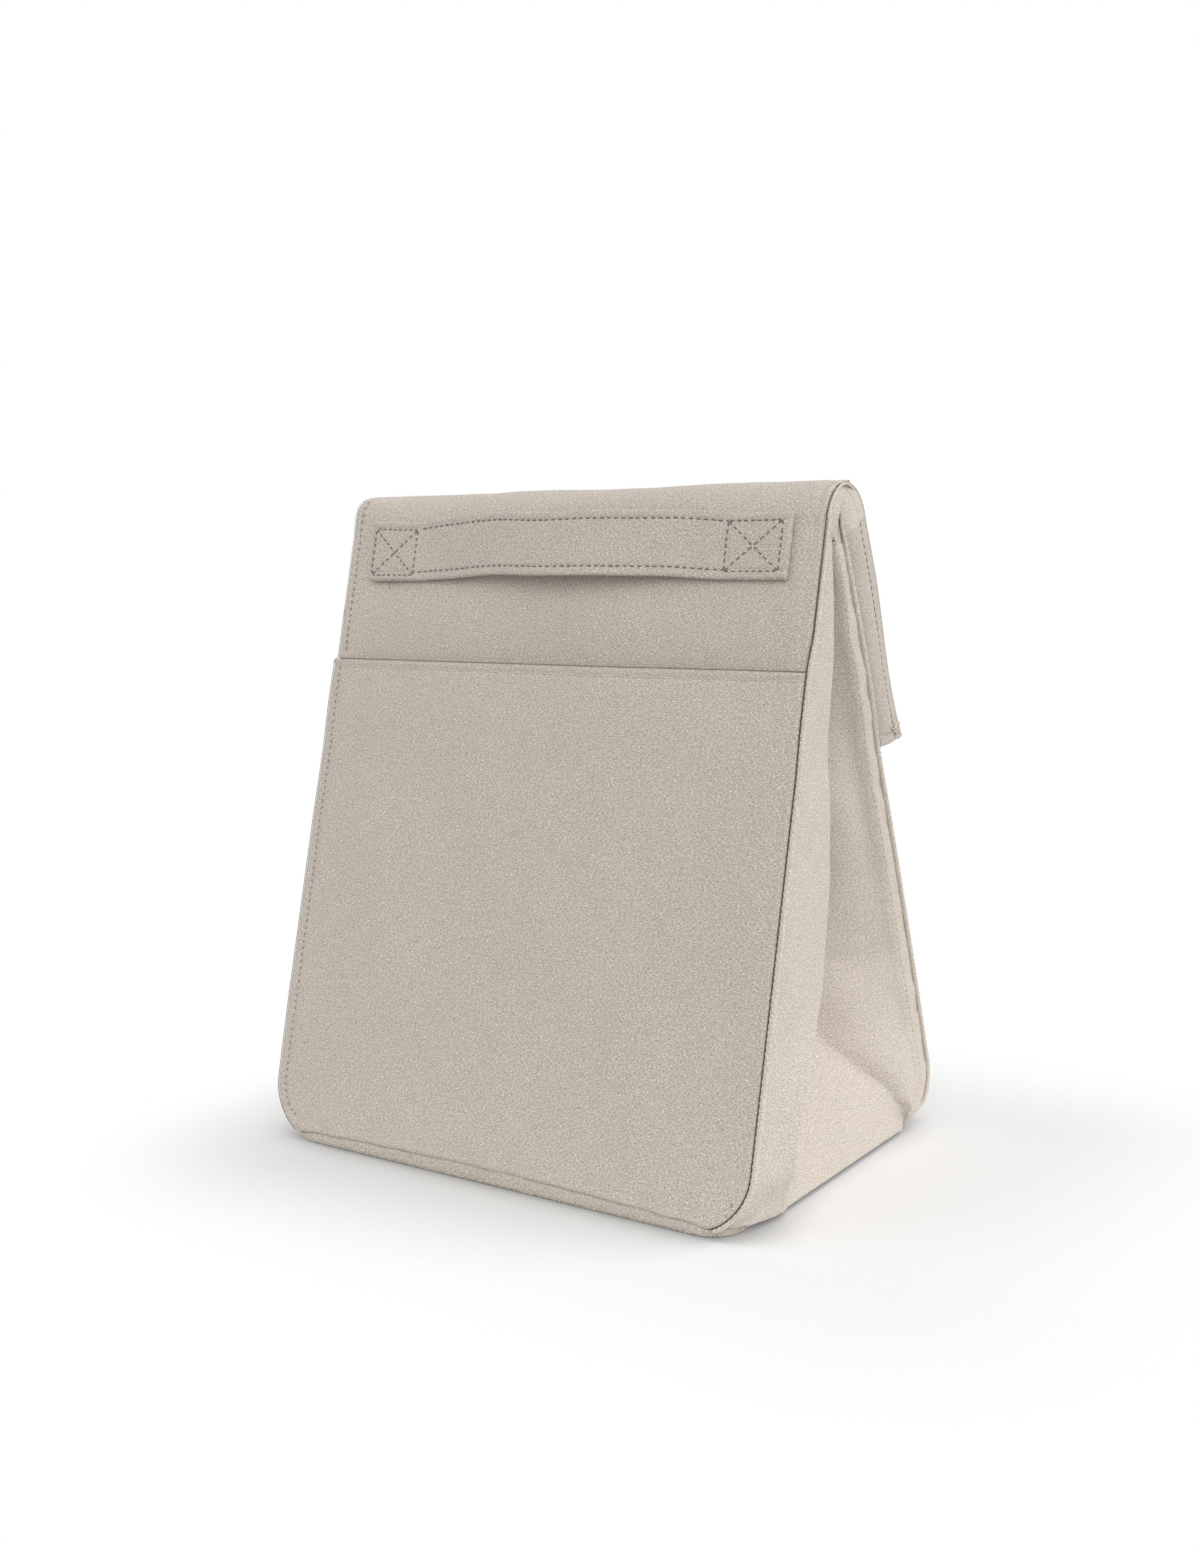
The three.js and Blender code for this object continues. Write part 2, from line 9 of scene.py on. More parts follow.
import bpy
import numpy as np
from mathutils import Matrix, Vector

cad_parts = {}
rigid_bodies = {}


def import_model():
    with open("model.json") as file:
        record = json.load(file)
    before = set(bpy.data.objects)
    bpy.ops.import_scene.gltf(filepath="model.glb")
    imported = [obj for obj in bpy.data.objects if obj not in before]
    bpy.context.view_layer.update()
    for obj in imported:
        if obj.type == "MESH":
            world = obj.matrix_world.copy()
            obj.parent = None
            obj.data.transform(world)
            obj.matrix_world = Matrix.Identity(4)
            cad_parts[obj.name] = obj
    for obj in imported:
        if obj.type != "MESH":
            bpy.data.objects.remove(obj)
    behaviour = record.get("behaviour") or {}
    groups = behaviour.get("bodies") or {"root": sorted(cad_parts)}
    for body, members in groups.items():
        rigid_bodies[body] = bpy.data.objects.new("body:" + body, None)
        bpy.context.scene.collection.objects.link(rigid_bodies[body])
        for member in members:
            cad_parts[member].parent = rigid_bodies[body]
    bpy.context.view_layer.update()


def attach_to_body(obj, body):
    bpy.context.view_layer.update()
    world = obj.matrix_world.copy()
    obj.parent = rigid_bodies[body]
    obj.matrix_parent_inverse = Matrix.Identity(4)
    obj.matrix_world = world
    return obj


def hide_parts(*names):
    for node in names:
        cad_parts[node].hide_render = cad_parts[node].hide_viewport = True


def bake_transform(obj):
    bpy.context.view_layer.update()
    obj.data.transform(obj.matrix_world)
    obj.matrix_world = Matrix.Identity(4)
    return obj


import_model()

# Sizes in millimetres, the same as the part's apart from what the photograph shows closer: the four
# corners, the flap's length, the pocket's belly, and the strap's width, ends, bow and rise
PANEL_WIDTH = 240
FRONT_FOOT = 96.5
REAR_FOOT = 95.2
FOLD_HEIGHT = 284.7
FOLD_RADIUS = 20
FOLD_FRONT = 36.5
NECK_DEPTH = 16.6
REAR_BULGE = 3
REAR_TUCK = 34
REAR_TUCK_HEIGHT = 30
FLAP_LENGTH = 101
FLAP_LEAN = 21
MOUTH_FLARE = 6.5
CORNER = 21
REAR_CORNER = 9
PLEAT_APEX = 88
APEX_DEPTH = 49
NECK_DROP = 44
FABRIC = 0.8
FOAM = 2.2
LINER = 0.5
GAP = 0.3
BASE_RIM = 5
BOARD = 2
BASE_INSET = 6
BASE_CORNER = 15
BASE_REAR_CORNER = 12
POCKET_DROP = 73.7
POCKET_BELLY = 3.5
HEM = 11
STRAP_WIDTH = 26.2
STRAP_THICKNESS = 2
STRAP_LEFT = -101.7
STRAP_RIGHT = 107.9
STRAP_PATCH = 28
STRAP_DROP = 38.7
STRAP_BOW = 8.5
STRAP_RISE = 2.6
GRIP_WIDTH = 30
GRIP_HEIGHT = 45
GRIP_THICKNESS = 1.2
GRIP_OFFSET = 62
CREASE_DROP = 2
CREASE_TAIL = 11

# distances of stitch lines from their edges: the pocket's and the strap's, the flap's hem, its sides' hems
STITCH_INSET = 3.6
FLAP_HEM = 4.5
SIDE_HEM = 5
# thickness of the flap's sides, and of the neck's fins and the lobes' tips
SIDE_SHEET = 0.7
FIN_SHEET = 0.6
# how far the pocket's edge stitches stand in, the cords' pitch, and the strap's length that bends as it lifts
EDGE_INSET = 5.2
CORD_PITCH = 2.6
SWING_REACH = 42

MM = 0.001
AHEAD = (0, -1, 0)
PANEL_FLAT = 0.240

HALF = PANEL_WIDTH / 2
FOLD_Z = FOLD_HEIGHT - FOLD_RADIUS
FRONT_SLOPE = (FRONT_FOOT - FOLD_FRONT) / FOLD_Z
REAR_SLOPE = (REAR_FOOT - NECK_DEPTH + FOLD_FRONT) / FOLD_Z
FRONT_SEC = math.hypot(1, FRONT_SLOPE)
REAR_SEC = math.hypot(1, REAR_SLOPE)
FOLD_Y = -FOLD_FRONT + FOLD_RADIUS * FRONT_SEC
FRONT_ANGLE = math.atan(FRONT_SLOPE)
REAR_ANGLE = math.atan(REAR_SLOPE)
FLAP_ANGLE = math.radians(FLAP_LEAN)
FOOT = BASE_RIM + GAP
FOAM_START = FABRIC + GAP
LINER_START = FOAM_START + FOAM + GAP
STACK = LINER_START + LINER
LAYERS = {"cloth": (0, FABRIC), "padding": (FOAM_START, FOAM_START + FOAM), "lining": (LINER_START, STACK)}
THIN_LINER = (FOAM_START, FOAM_START + LINER)
FLAP_GAP = 2 * GRIP_THICKNESS + 3 * GAP
CREASE_Z = FOLD_Z - CREASE_DROP
NECK_TOP = CREASE_Z - (FLAP_GAP / 2 + STACK) * math.sin(REAR_ANGLE) - GAP
POCKET_TOP = FOLD_HEIGHT - POCKET_DROP
STRAP_BASE = FOLD_HEIGHT - STRAP_DROP
FOAM_TOP = FOLD_Z - NECK_DROP


# ---------------------------------------------------------------- camera, world and lamps

def make_camera():
    data = bpy.data.cameras.new("camera")
    data.sensor_fit = "AUTO"
    data.sensor_width = 36
    data.lens = 38.44
    data.clip_start = 0.01
    camera = bpy.data.objects.new("camera", data)
    azimuth, pitch = math.radians(33.10), math.radians(6.344)
    gaze = Vector((-math.sin(azimuth) * math.cos(pitch), math.cos(azimuth) * math.cos(pitch), -math.sin(pitch)))
    camera.location = (0.3952, -0.6148, 0.2422)
    camera.rotation_euler = gaze.to_track_quat("-Z", "Y").to_euler()
    bpy.context.scene.collection.objects.link(camera)
    bpy.context.scene.camera = camera


def sun_lamp(name, toward, share, softness, colour):
    """Soft light from a direction; a face square to it gets this share of full light."""
    data = bpy.data.lights.new(name, "SUN")
    data.energy = math.pi * share
    data.angle = math.radians(softness)
    data.color = colour
    lamp = bpy.data.objects.new(name, data)
    lamp.rotation_euler = (-Vector(toward)).to_track_quat("-Z", "Y").to_euler()
    lamp.location = Vector(toward) * 2
    bpy.context.scene.collection.objects.link(lamp)


make_camera()
bpy.context.scene.view_settings.view_transform = "Standard"


# ---------------------------------------------------------------- small mathematics

def lerp(a, b, t):
    return a + (b - a) * t


def smooth(t):
    c = np.clip(t, 0, 1)
    return c * c * (3 - 2 * c)


def bump(distance, width):
    return np.exp(-(distance / width) ** 2)


def waves(a, b, length, seed, count=9):
    """Smooth uneven waves over a plane, about one unit high."""
    rng = np.random.default_rng(seed)
    total = 0
    for _ in range(count):
        turn, phase = rng.uniform(0, 2 * math.pi, 2)
        k = 2 * math.pi / (length * rng.uniform(0.65, 1.7))
        total = total + np.sin(k * (a * math.cos(turn) + b * math.sin(turn)) + phase)
    return total / math.sqrt(count)


def lines(low, high, step, marks=(), near=1.2, tight=0.4):
    """Values from low to high, about step apart, and tight ones near each mark."""
    values = [low]
    while values[-1] < high:
        v = values[-1]
        ahead = [abs(v - m) for m in marks] + [1e9]
        gap = max(0, min(ahead) - near)
        values.append(v + min(step, tight + 0.3 * gap))
    scale = (high - low) / (values[-1] - low)
    return low + (np.array(values) - low) * scale


def rounding(edge, radius):
    """How far a sheet's face falls back at this distance from its rounded edge."""
    e = np.clip(edge, 0, radius)
    return radius - np.sqrt(np.maximum(radius ** 2 - (radius - e) ** 2, 0))


def on_circle(centre, radius, angle):
    return centre[0] + radius * np.cos(angle), centre[1] + radius * np.sin(angle)


def unit(vectors):
    return vectors / np.maximum(np.linalg.norm(vectors, axis=-1, keepdims=True), 1e-9)


def spread(rows, grid):
    """One value a row, repeated over a grid."""
    return np.broadcast_to(rows[:, None], grid.shape[:2])


def distance_along(points):
    """Distance from the first point along a line of points, or along each row of a grid of them."""
    steps = np.cumsum(np.linalg.norm(np.diff(points, axis=-2), axis=-1), axis=-1)
    return np.concatenate([np.zeros((*steps.shape[:-1], 1)), steps], axis=-1)


# ---------------------------------------------------------------- meshes

def add_mesh(name, points, faces, material, cloth=None, sharp=48):
    mesh = bpy.data.meshes.new(name)
    mesh.from_pydata((np.asarray(points, float) * MM).tolist(), [], [tuple(f) for f in faces])
    if cloth is not None:
        layer = mesh.attributes.new("cloth", "FLOAT_VECTOR", "POINT")
        layer.data.foreach_set("vector", (np.asarray(cloth, float) * MM).astype(np.float32).ravel())
    mesh.polygons.foreach_set("use_smooth", [True] * len(mesh.polygons))
    mesh.set_sharp_from_angle(angle=math.radians(sharp))
    mesh.materials.append(material)
    piece = bpy.data.objects.new(name, mesh)
    bpy.context.scene.collection.objects.link(piece)
    return piece


def face_out(points, faces):
    p = np.asarray(points)
    volume = 0
    for f in faces:
        for k in range(1, len(f) - 1):
            volume += np.dot(p[f[0]], np.cross(p[f[k]], p[f[k + 1]]))
    return faces if volume > 0 else [f[::-1] for f in faces]


def ring_faces(rings, sides):
    """Faces of a closed solid whose rings of points are stored one after the other."""
    faces = []
    for i in range(rings - 1):
        for j in range(sides):
            k = (j + 1) % sides
            faces.append((i * sides + j, i * sides + k, (i + 1) * sides + k, (i + 1) * sides + j))
    return [*faces, tuple(reversed(range(sides))), tuple(range((rings - 1) * sides, rings * sides))]


def grid_faces(rows, cols):
    """Faces of a closed shell between two grids that are stored one after the other."""
    at = np.arange(rows * cols).reshape(rows, cols)
    size = rows * cols

    def quads(a, b, c, d):
        return np.stack([a.ravel(), b.ravel(), c.ravel(), d.ravel()], axis=1)

    top = quads(at[:-1, :-1], at[:-1, 1:], at[1:, 1:], at[1:, :-1])
    under = quads(at[:-1, :-1], at[1:, :-1], at[1:, 1:], at[:-1, 1:]) + size
    rim = [
        quads(at[0, 1:], at[0, :-1], at[0, :-1] + size, at[0, 1:] + size),
        quads(at[-1, :-1], at[-1, 1:], at[-1, 1:] + size, at[-1, :-1] + size),
        quads(at[:-1, 0], at[1:, 0], at[1:, 0] + size, at[:-1, 0] + size),
        quads(at[1:, -1], at[:-1, -1], at[:-1, -1] + size, at[1:, -1] + size),
    ]
    return np.concatenate([top, under, *rim])


def grid_normals(grid, outward, columns=None):
    """Unit normals of a grid of points, turned to the side that outward names, judged on its first columns."""
    n = unit(np.cross(np.gradient(grid, axis=1), np.gradient(grid, axis=0)))
    return n if np.mean(n[:, :columns] @ np.asarray(outward, float)) > 0 else -n


def closed_sheet(name, outer, inner, material, cloth, sharp=48):
    """Closed sheet between two grids of points. The cloth's own two coordinates go on both of them."""
    points = np.concatenate([outer.reshape(-1, 3), inner.reshape(-1, 3)])
    faces = grid_faces(*outer.shape[:2])
    p = points[faces]
    volume = np.einsum("ij,ij->i", p[:, 0], np.cross(p[:, 1], p[:, 2]) + np.cross(p[:, 2], p[:, 3])).sum()
    if volume < 0:
        faces = faces[:, ::-1]
    a, b = (np.broadcast_to(c, outer.shape[:2]).ravel() for c in cloth)
    coords = np.stack([a, b, np.zeros(a.size)], axis=1)
    return add_mesh(name, points, faces.tolist(), material, np.concatenate([coords, coords]), sharp)


def shell(name, face, outward, depths, material, cloth, edge=None, sharp=48, columns=None):
    """Closed sheet from the grid of its outer face, its near and far depth, and where its edges round."""
    normals = grid_normals(face, outward, columns)
    near, far = (np.broadcast_to(d, face.shape[:2]) for d in depths)
    if edge is not None:
        back = rounding(edge, (far - near) / 2 * 0.98)
        near, far = near + back, far - back
    outer, inner = (face - normals * depth[..., None] for depth in (near, far))
    return closed_sheet(name, outer, inner, material, cloth, sharp)


def tube(path, radii, sides=10, normal=(0, 0, 1), lobes=0, twist=0.0, depth=0.0):
    """Points and faces of a closed tube along a path, its surface twisted into lobes where asked."""
    path = np.asarray(path, float)
    radii = np.broadcast_to(radii, len(path))
    heading = unit(np.gradient(path, axis=0))
    side = unit(np.cross(heading, np.broadcast_to(np.asarray(normal, float), path.shape)))
    up = np.cross(side, heading)
    run = distance_along(path)
    angles = np.linspace(0, 2 * math.pi, sides, endpoint=False)
    shape = 1 + depth * np.cos(lobes * angles[None] - twist * run[:, None]) if lobes else np.ones((len(path), sides))
    r = (radii[:, None] * shape)[..., None]
    points = path[:, None] + r * np.cos(angles)[None, :, None] * side[:, None]
    points = (points + r * np.sin(angles)[None, :, None] * up[:, None]).reshape(-1, 3)
    coords = np.stack([np.tile(angles, len(path)), np.repeat(run, sides), np.zeros(len(points))], axis=1)
    return points, ring_faces(len(path), sides), coords


def join_parts(parts):
    points, faces, coords, start = [], [], [], 0
    for p, f, c in parts:
        points.append(p)
        coords.append(c)
        faces.extend(tuple(i + start for i in face) for face in f)
        start += len(p)
    return np.concatenate(points), faces, np.concatenate(coords)


def stitch_parts(path, normals, pitch=3.2, share=0.64, radius=0.3, seed=1):
    """Short threads along a path on a face; both ends of each dive into the cloth."""
    path = np.asarray(path, float)
    normals = np.broadcast_to(np.asarray(normals, float), path.shape)
    run = distance_along(path)
    rng = np.random.default_rng(seed)
    count = max(1, int(run[-1] / pitch))
    step = run[-1] / count
    parts = []
    for k in range(count):
        shift, size, lean = rng.uniform(-0.12, 0.12), rng.uniform(0.92, 1.06), rng.normal(0, 0.05)
        middle = (k + 0.5 + shift * 0.5) * step
        s = np.clip(middle + np.linspace(-0.5, 0.5, 6) * step * share * size, 0, run[-1])
        p, n = (np.stack([np.interp(s, run, v[:, i]) for i in range(3)], axis=1) for v in (path, normals))
        n = unit(n)
        heading = p[-1] - p[0]
        length = np.linalg.norm(heading)
        if length < 0.3:
            continue
        across = np.cross(n[2], heading / length)
        t = np.linspace(-1, 1, 6)
        p = p + across * (t[:, None] * length * 0.5 * lean)
        arch = 1 - t ** 4
        p = p + n * ((arch * (radius + 0.12) - 0.12 - (1 - arch) * 0.25)[:, None])
        parts.append(tube(p, radius * size * np.array([0.6, 0.95, 1, 1, 0.95, 0.6]), 6, n[2]))
    return parts


def attach(piece, slot, moves, *nodes, padded=False, **sheet):
    """Hide the nodes that a piece stands for, and fix it to what it moves with. Its slot and how it is soft are not
    used.

    What it moves with is a body's name, or two bodies' names and the places where it passes from one to the other;
    then the piece only has its place baked in.
    """
    if nodes:
        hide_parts(*nodes)
    if isinstance(moves, str):
        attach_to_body(piece, moves)
    else:
        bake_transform(piece)


def add_trim(name, parts, material, moves, *nodes):
    """A trim piece from tubes, given as points, faces and coordinates."""
    points, faces, coords = join_parts(parts)
    piece = add_mesh(name, points, faces, MATERIALS[material], coords, 80)
    attach(piece, "trim", moves, *nodes)
    return piece


# ---------------------------------------------------------------- materials

class Nodes:
    """The node tree of a material or of the world, built a node at a time."""

    def __init__(self, owner, output="ShaderNodeOutputMaterial"):
        self.owner = owner
        owner.use_nodes = True
        self.tree = owner.node_tree
        self.tree.nodes.clear()
        self.out = self.add(output)

    def add(self, kind, **values):
        node = self.tree.nodes.new(kind)
        for key, value in values.items():
            if key.startswith("set_"):
                setattr(node, key[4:], value)
            else:
                self.put(node, key, value)
        return node

    def put(self, node, key, value):
        socket = node.inputs[int(key[2:])] if key.startswith("in") and key[2:].isdigit() else node.inputs[key]
        if isinstance(value, bpy.types.NodeSocket):
            self.tree.links.new(value, socket)
        else:
            socket.default_value = value

    def place(self):
        return self.add("ShaderNodeTexCoord").outputs["Object"]

    def cloth(self):
        return self.add("ShaderNodeAttribute", set_attribute_name="cloth").outputs["Vector"]

    def seen(self):
        """1 for rays from the camera, also by way of a mirror or glass."""
        rays = self.add("ShaderNodeLightPath").outputs
        seen = self.maths("MAXIMUM", rays["Is Camera Ray"], rays["Is Glossy Ray"])
        return self.maths("MAXIMUM", seen, rays["Is Transmission Ray"])

    def noise(self, vector, scale, detail=2, roughness=0.55, distortion=0.0):
        place = self.add("ShaderNodeMapping", Vector=vector, Scale=scale)
        return self.add("ShaderNodeTexNoise", Vector=place.outputs[0], Scale=1.0, Detail=detail,
                        Roughness=roughness, Distortion=distortion).outputs["Fac"]

    def cells(self, vector, scale):
        return self.add("ShaderNodeTexVoronoi", Vector=vector, Scale=scale).outputs["Distance"]

    def vector(self, operation, a, b=(0, 0, 0)):
        return self.add("ShaderNodeVectorMath", set_operation=operation, in0=a, in1=b).outputs["Vector"]

    def ramp(self, value, stops):
        node = self.add("ShaderNodeValToRGB", Fac=value)
        ramp = node.color_ramp
        while len(ramp.elements) < len(stops):
            ramp.elements.new(0.5)
        for element, (place, colour) in zip(ramp.elements, stops):
            element.position = place
            element.color = (*colour, 1) if not isinstance(colour, float) else (colour, colour, colour, 1)
        return node.outputs["Color"]

    def maths(self, operation, a, b):
        return self.add("ShaderNodeMath", set_operation=operation, in0=a, in1=b).outputs[0]

    def mix(self, kind, share, a, b):
        return self.add("ShaderNodeMix", set_data_type="RGBA", set_blend_type=kind, Factor=share, in6=a,
                        in7=b).outputs[2]

    def show(self, shader):
        self.tree.links.new(shader.outputs[0], self.out.inputs["Surface"])
        return self.owner

    def finish(self, colour, height, strength, distance, roughness, gloss=0.5, **values):
        shader = self.add("ShaderNodeBsdfPrincipled", Roughness=roughness, **values)
        self.put(shader, "Specular IOR Level", gloss)
        self.put(shader, "Base Color", colour)
        relief = self.add("ShaderNodeBump", Height=height, Strength=strength, Distance=distance)
        self.put(shader, "Normal", relief.outputs[0])
        return self.show(shader)


def new_material(name):
    return Nodes(bpy.data.materials.new(name))


def shade(colour, factor):
    return tuple(c * factor for c in colour)


def linen(name, colour, contrast=1.0):
    """Woven melange cloth: uneven threads both ways, slubs, and a soft blotchy tone."""
    m = new_material(name)
    cloth = m.cloth()
    warp = m.noise(cloth, (3400, 1900, 1), 2, 0.5)
    weft = m.noise(cloth, (1150, 3600, 1), 2, 0.5)
    slub_up = m.noise(cloth, (1700, 150, 1), 2, 0.5)
    slub_over = m.noise(cloth, (110, 2300, 1), 2, 0.5)
    grain = m.noise(cloth, (800, 3300, 1), 2, 0.5)
    upright = m.noise(cloth, (3300, 800, 1), 2, 0.5)
    blotch = m.noise(cloth, (24, 24, 1), 3, 0.6)
    stops = [(0.30, shade(colour, 1 - 0.6 * contrast)), (0.52, colour), (0.74, shade(colour, 1 + 0.44 * contrast))]
    base = m.mix("MIX", 0.56, m.ramp(warp, stops), m.ramp(weft, stops))
    fine = m.ramp(grain, [(0.30, 1 - 0.30 * contrast), (0.5, 1.0), (0.70, 1 + 0.27 * contrast)])
    tall = m.ramp(upright, [(0.30, 1 - 0.22 * contrast), (0.5, 1.0), (0.70, 1 + 0.20 * contrast)])
    for tone in (
        m.ramp(slub_up, [(0.30, 0.95), (0.5, 1.0), (0.72, 1.03)]),
        m.ramp(slub_over, [(0.28, 0.89), (0.5, 1.0), (0.74, 1.08)]),
        m.mix("MULTIPLY", 1.0, fine, tall),
        m.ramp(blotch, [(0.3, 0.98), (0.7, 1.015)]),
    ):
        base = m.mix("MULTIPLY", 1.0, base, tone)
    height = m.maths("ADD", m.maths("ADD", warp, weft), m.maths("MULTIPLY", slub_up, 0.6))
    return m.finish(base, height, 0.35, 0.0003, 0.9, 0.2, **{"Sheen Weight": 0.12, "Sheen Roughness": 0.5})


def thread(name, colour):
    m = new_material(name)
    twist = m.noise(m.cloth(), (900, 1800, 1), 2, 0.5)
    base = m.ramp(twist, [(0.3, shade(colour, 0.72)), (0.7, shade(colour, 1.2))])
    return m.finish(base, twist, 0.4, 0.0001, 0.75, 0.3)


def foam_finish():
    m = new_material("foam")
    place = m.place()
    base = m.ramp(m.noise(place, (120, 120, 120), 3), [(0.3, (0.74, 0.73, 0.70)), (0.7, (0.86, 0.85, 0.82))])
    return m.finish(base, m.cells(place, 900.0), 0.5, 0.0002, 0.95, 0.15)


def liner_finish():
    m = new_material("liner")
    place = m.place()
    crumple = m.noise(place, (70, 70, 70), 5, 0.62, 0.8)
    fine = m.noise(place, (420, 420, 420), 3, 0.55)
    base = m.ramp(crumple, [(0.25, (0.50, 0.51, 0.52)), (0.75, (0.66, 0.67, 0.68))])
    height = m.maths("ADD", m.maths("MULTIPLY", crumple, 3.0), fine)
    return m.finish(base, height, 0.6, 0.0009, m.ramp(fine, [(0.3, 0.26), (0.7, 0.42)]), Metallic=0.45)


def board_finish():
    m = new_material("board")
    fibres = m.noise(m.place(), (160, 900, 900), 4, 0.6)
    base = m.ramp(fibres, [(0.3, (0.40, 0.36, 0.30)), (0.7, (0.52, 0.47, 0.40))])
    return m.finish(base, fibres, 0.4, 0.0002, 0.85, 0.2)


def grip_finish():
    m = new_material("grip")
    hooks = m.cells(m.place(), 850.0)
    base = m.ramp(hooks, [(0.0, (0.58, 0.53, 0.46)), (0.7, (0.36, 0.33, 0.28))])
    return m.finish(base, hooks, 0.9, 0.0006, 0.8, 0.3)


LINEN = (0.628, 0.566, 0.494)
MATERIALS = {
    "linen": linen("linen", LINEN),
    "gusset": linen("gusset_linen", LINEN, 0.9),
    # painted shade: the flap's sides get the linen darkened to 0.88, for the shade they lie in
    "flap_side": linen("flap_side_painted_shade_linen", shade(LINEN, 0.88), 0.9),
    "strap": linen("strap_linen", shade(LINEN, 0.96)),
    # painted highlight: the seam cords are the same linen made 1.1 times lighter, for the light that their raised
    # beads catch
    "cord": linen("cord_painted_highlight_linen", shade(LINEN, 1.1), 0.8),
    "foam": foam_finish(),
    "liner": liner_finish(),
    "board": board_finish(),
    "grip": grip_finish(),
    "pale_thread": thread("pale_thread", (0.66, 0.60, 0.50)),
    "dark_thread": thread("dark_thread", (0.20, 0.17, 0.145)),
    # painted shadow: a near-black colour for the tubes laid in the front seams' grooves
    "painted_seam_shadow": thread("painted_seam_shadow", (0.10, 0.085, 0.07)),
    "seam_thread": thread("seam_thread", (0.36, 0.31, 0.25)),
}
LAYER_WORD = {"cloth": "fabric", "padding": "foam", "lining": "liner"}
PANEL_WORD = {"cloth": "panel", "padding": "foam", "lining": "liner"}
LAYER_MATERIAL = {"cloth": MATERIALS["linen"], "padding": MATERIALS["foam"], "lining": MATERIALS["liner"]}


# ---------------------------------------------------------------- the bag's outlines

def front_y(z):
    return -FRONT_FOOT + FRONT_SLOPE * z


def rear_y(z):
    belly = REAR_BULGE * np.sin(math.pi * np.clip(z / FOLD_Z, 0, 1))
    turn = np.maximum(0, 1 - z / REAR_TUCK_HEIGHT)
    return REAR_FOOT - REAR_SLOPE * z + belly - REAR_TUCK * turn ** 2


def corner_width(z, radius):
    rise = np.clip(z - FOOT, 0, radius)
    return HALF - (radius - np.sqrt(np.maximum(radius ** 2 - (radius - rise) ** 2, 0)))


def rear_width(z):
    return corner_width(z, REAR_CORNER) - 1.7 * smooth((z - 6) / 26) * (1 - smooth((z - 168) / 42))


def edge_distance(x, z, radius):
    """Distance from a panel's sewn edge, rounded lower corners included."""
    side = HALF - np.abs(x)
    foot = z - FOOT
    corner = radius - np.hypot(np.maximum(radius - side, 0), np.maximum(radius - foot, 0))
    return np.minimum(np.minimum(side, foot), np.where((side < radius) & (foot < radius), corner, 1e9))


def foot_lift(x, z):
    """How far the foot of the front rises in the middle and sinks at its corners."""
    rise = 2.0 - 2.6 * np.clip(np.abs(x) / 105, 0, 1) ** 1.7 - 1.1 * bump(np.abs(x) - 106, 6)
    return rise * (1 - smooth((z - FOOT) / 26))


def corner_rows(radius, top, step, marks=(), count=20):
    """Heights of the rows of a panel whose lower corners are rounded."""
    low = FOOT + radius * (1 - np.cos(np.linspace(0, math.pi / 2, count)))
    return np.concatenate([low[:-1], lines(low[-1], top, step, marks)])


EDGE_STEPS = lines(0, HALF, 3.2, (0,), 5.0, 0.45)


def panel_x(widths):
    """Crossing positions of a panel whose half widths are given, row by row."""
    rows = []
    for w in widths:
        e = EDGE_STEPS * (w / HALF)
        right = (w - e)[::-1]
        rows.append(np.concatenate([-right[:0:-1], right]))
    return np.array(rows)


def pillow(e):
    """A sewn edge rolls back into its seam and leaves a faint hollow beside it."""
    return -1.1 * np.clip(1 - e / 1.9, 0, 1) ** 2 - 0.28 * bump(e - 4.2, 1.7) + 0.12 * bump(e - 8.5, 3)


# ---------------------------------------------------------------- front, with the roll over the top

ROLL_START = math.pi - FRONT_ANGLE
TANGENT = (FOLD_Y + FOLD_RADIUS * math.cos(ROLL_START), FOLD_Z + FOLD_RADIUS * math.sin(ROLL_START))
STRAIGHT = (TANGENT[1] - FOOT) * FRONT_SEC
ROLL_LENGTH = FOLD_RADIUS * (ROLL_START - FLAP_ANGLE)
ROLL_END = (FOLD_Y + FOLD_RADIUS * math.cos(FLAP_ANGLE), FOLD_Z + FOLD_RADIUS * math.sin(FLAP_ANGLE))


def bending(first, second, start, end):
    """Two bodies and the places, given as y and z, where a piece passes from the first to the second."""
    return first, second, *((0, y * MM, z * MM) for y, z in (start, end))


WITH_ROLL = bending("bag", "flap", TANGENT, ROLL_END)


def front_profile(s):
    """Place and outward direction, in the side view, at this distance up the front and over the roll."""
    angle = ROLL_START - np.clip(s - STRAIGHT, 0, None) / FOLD_RADIUS
    y, z = on_circle((FOLD_Y, FOLD_Z), FOLD_RADIUS, angle)
    short = np.minimum(s - STRAIGHT, 0) / FRONT_SEC
    return y + short * FRONT_SLOPE, z + short, np.cos(angle), np.sin(angle)


def front_face(x, s, out):
    y, z, ny, nz = front_profile(s)
    return np.stack(np.broadcast_arrays(x, y + out * ny, z + out * nz), axis=-1)


def front_relief(x, s):
    e = np.minimum(edge_distance(x, FOOT + s / FRONT_SEC, CORNER), HALF - np.abs(x))
    soft = 0.42 * waves(x, s, 70, 3) + 0.14 * waves(x, s, 24, 4)
    left = STRAIGHT + ROLL_LENGTH - s
    return pillow(e) + soft * smooth(e / 14) * smooth(left / 12) - 0.2 * bump(left, 0.8)


def dent(x, s):
    """The panel is pressed back where the pocket's top edge pulls on it."""
    above = s - (POCKET_TOP - FOOT) * FRONT_SEC
    return -2.4 * (1 - smooth((above + 2) / 27)) * smooth((above + 60) / 50) * smooth((HALF - np.abs(x) - 1) / 16)


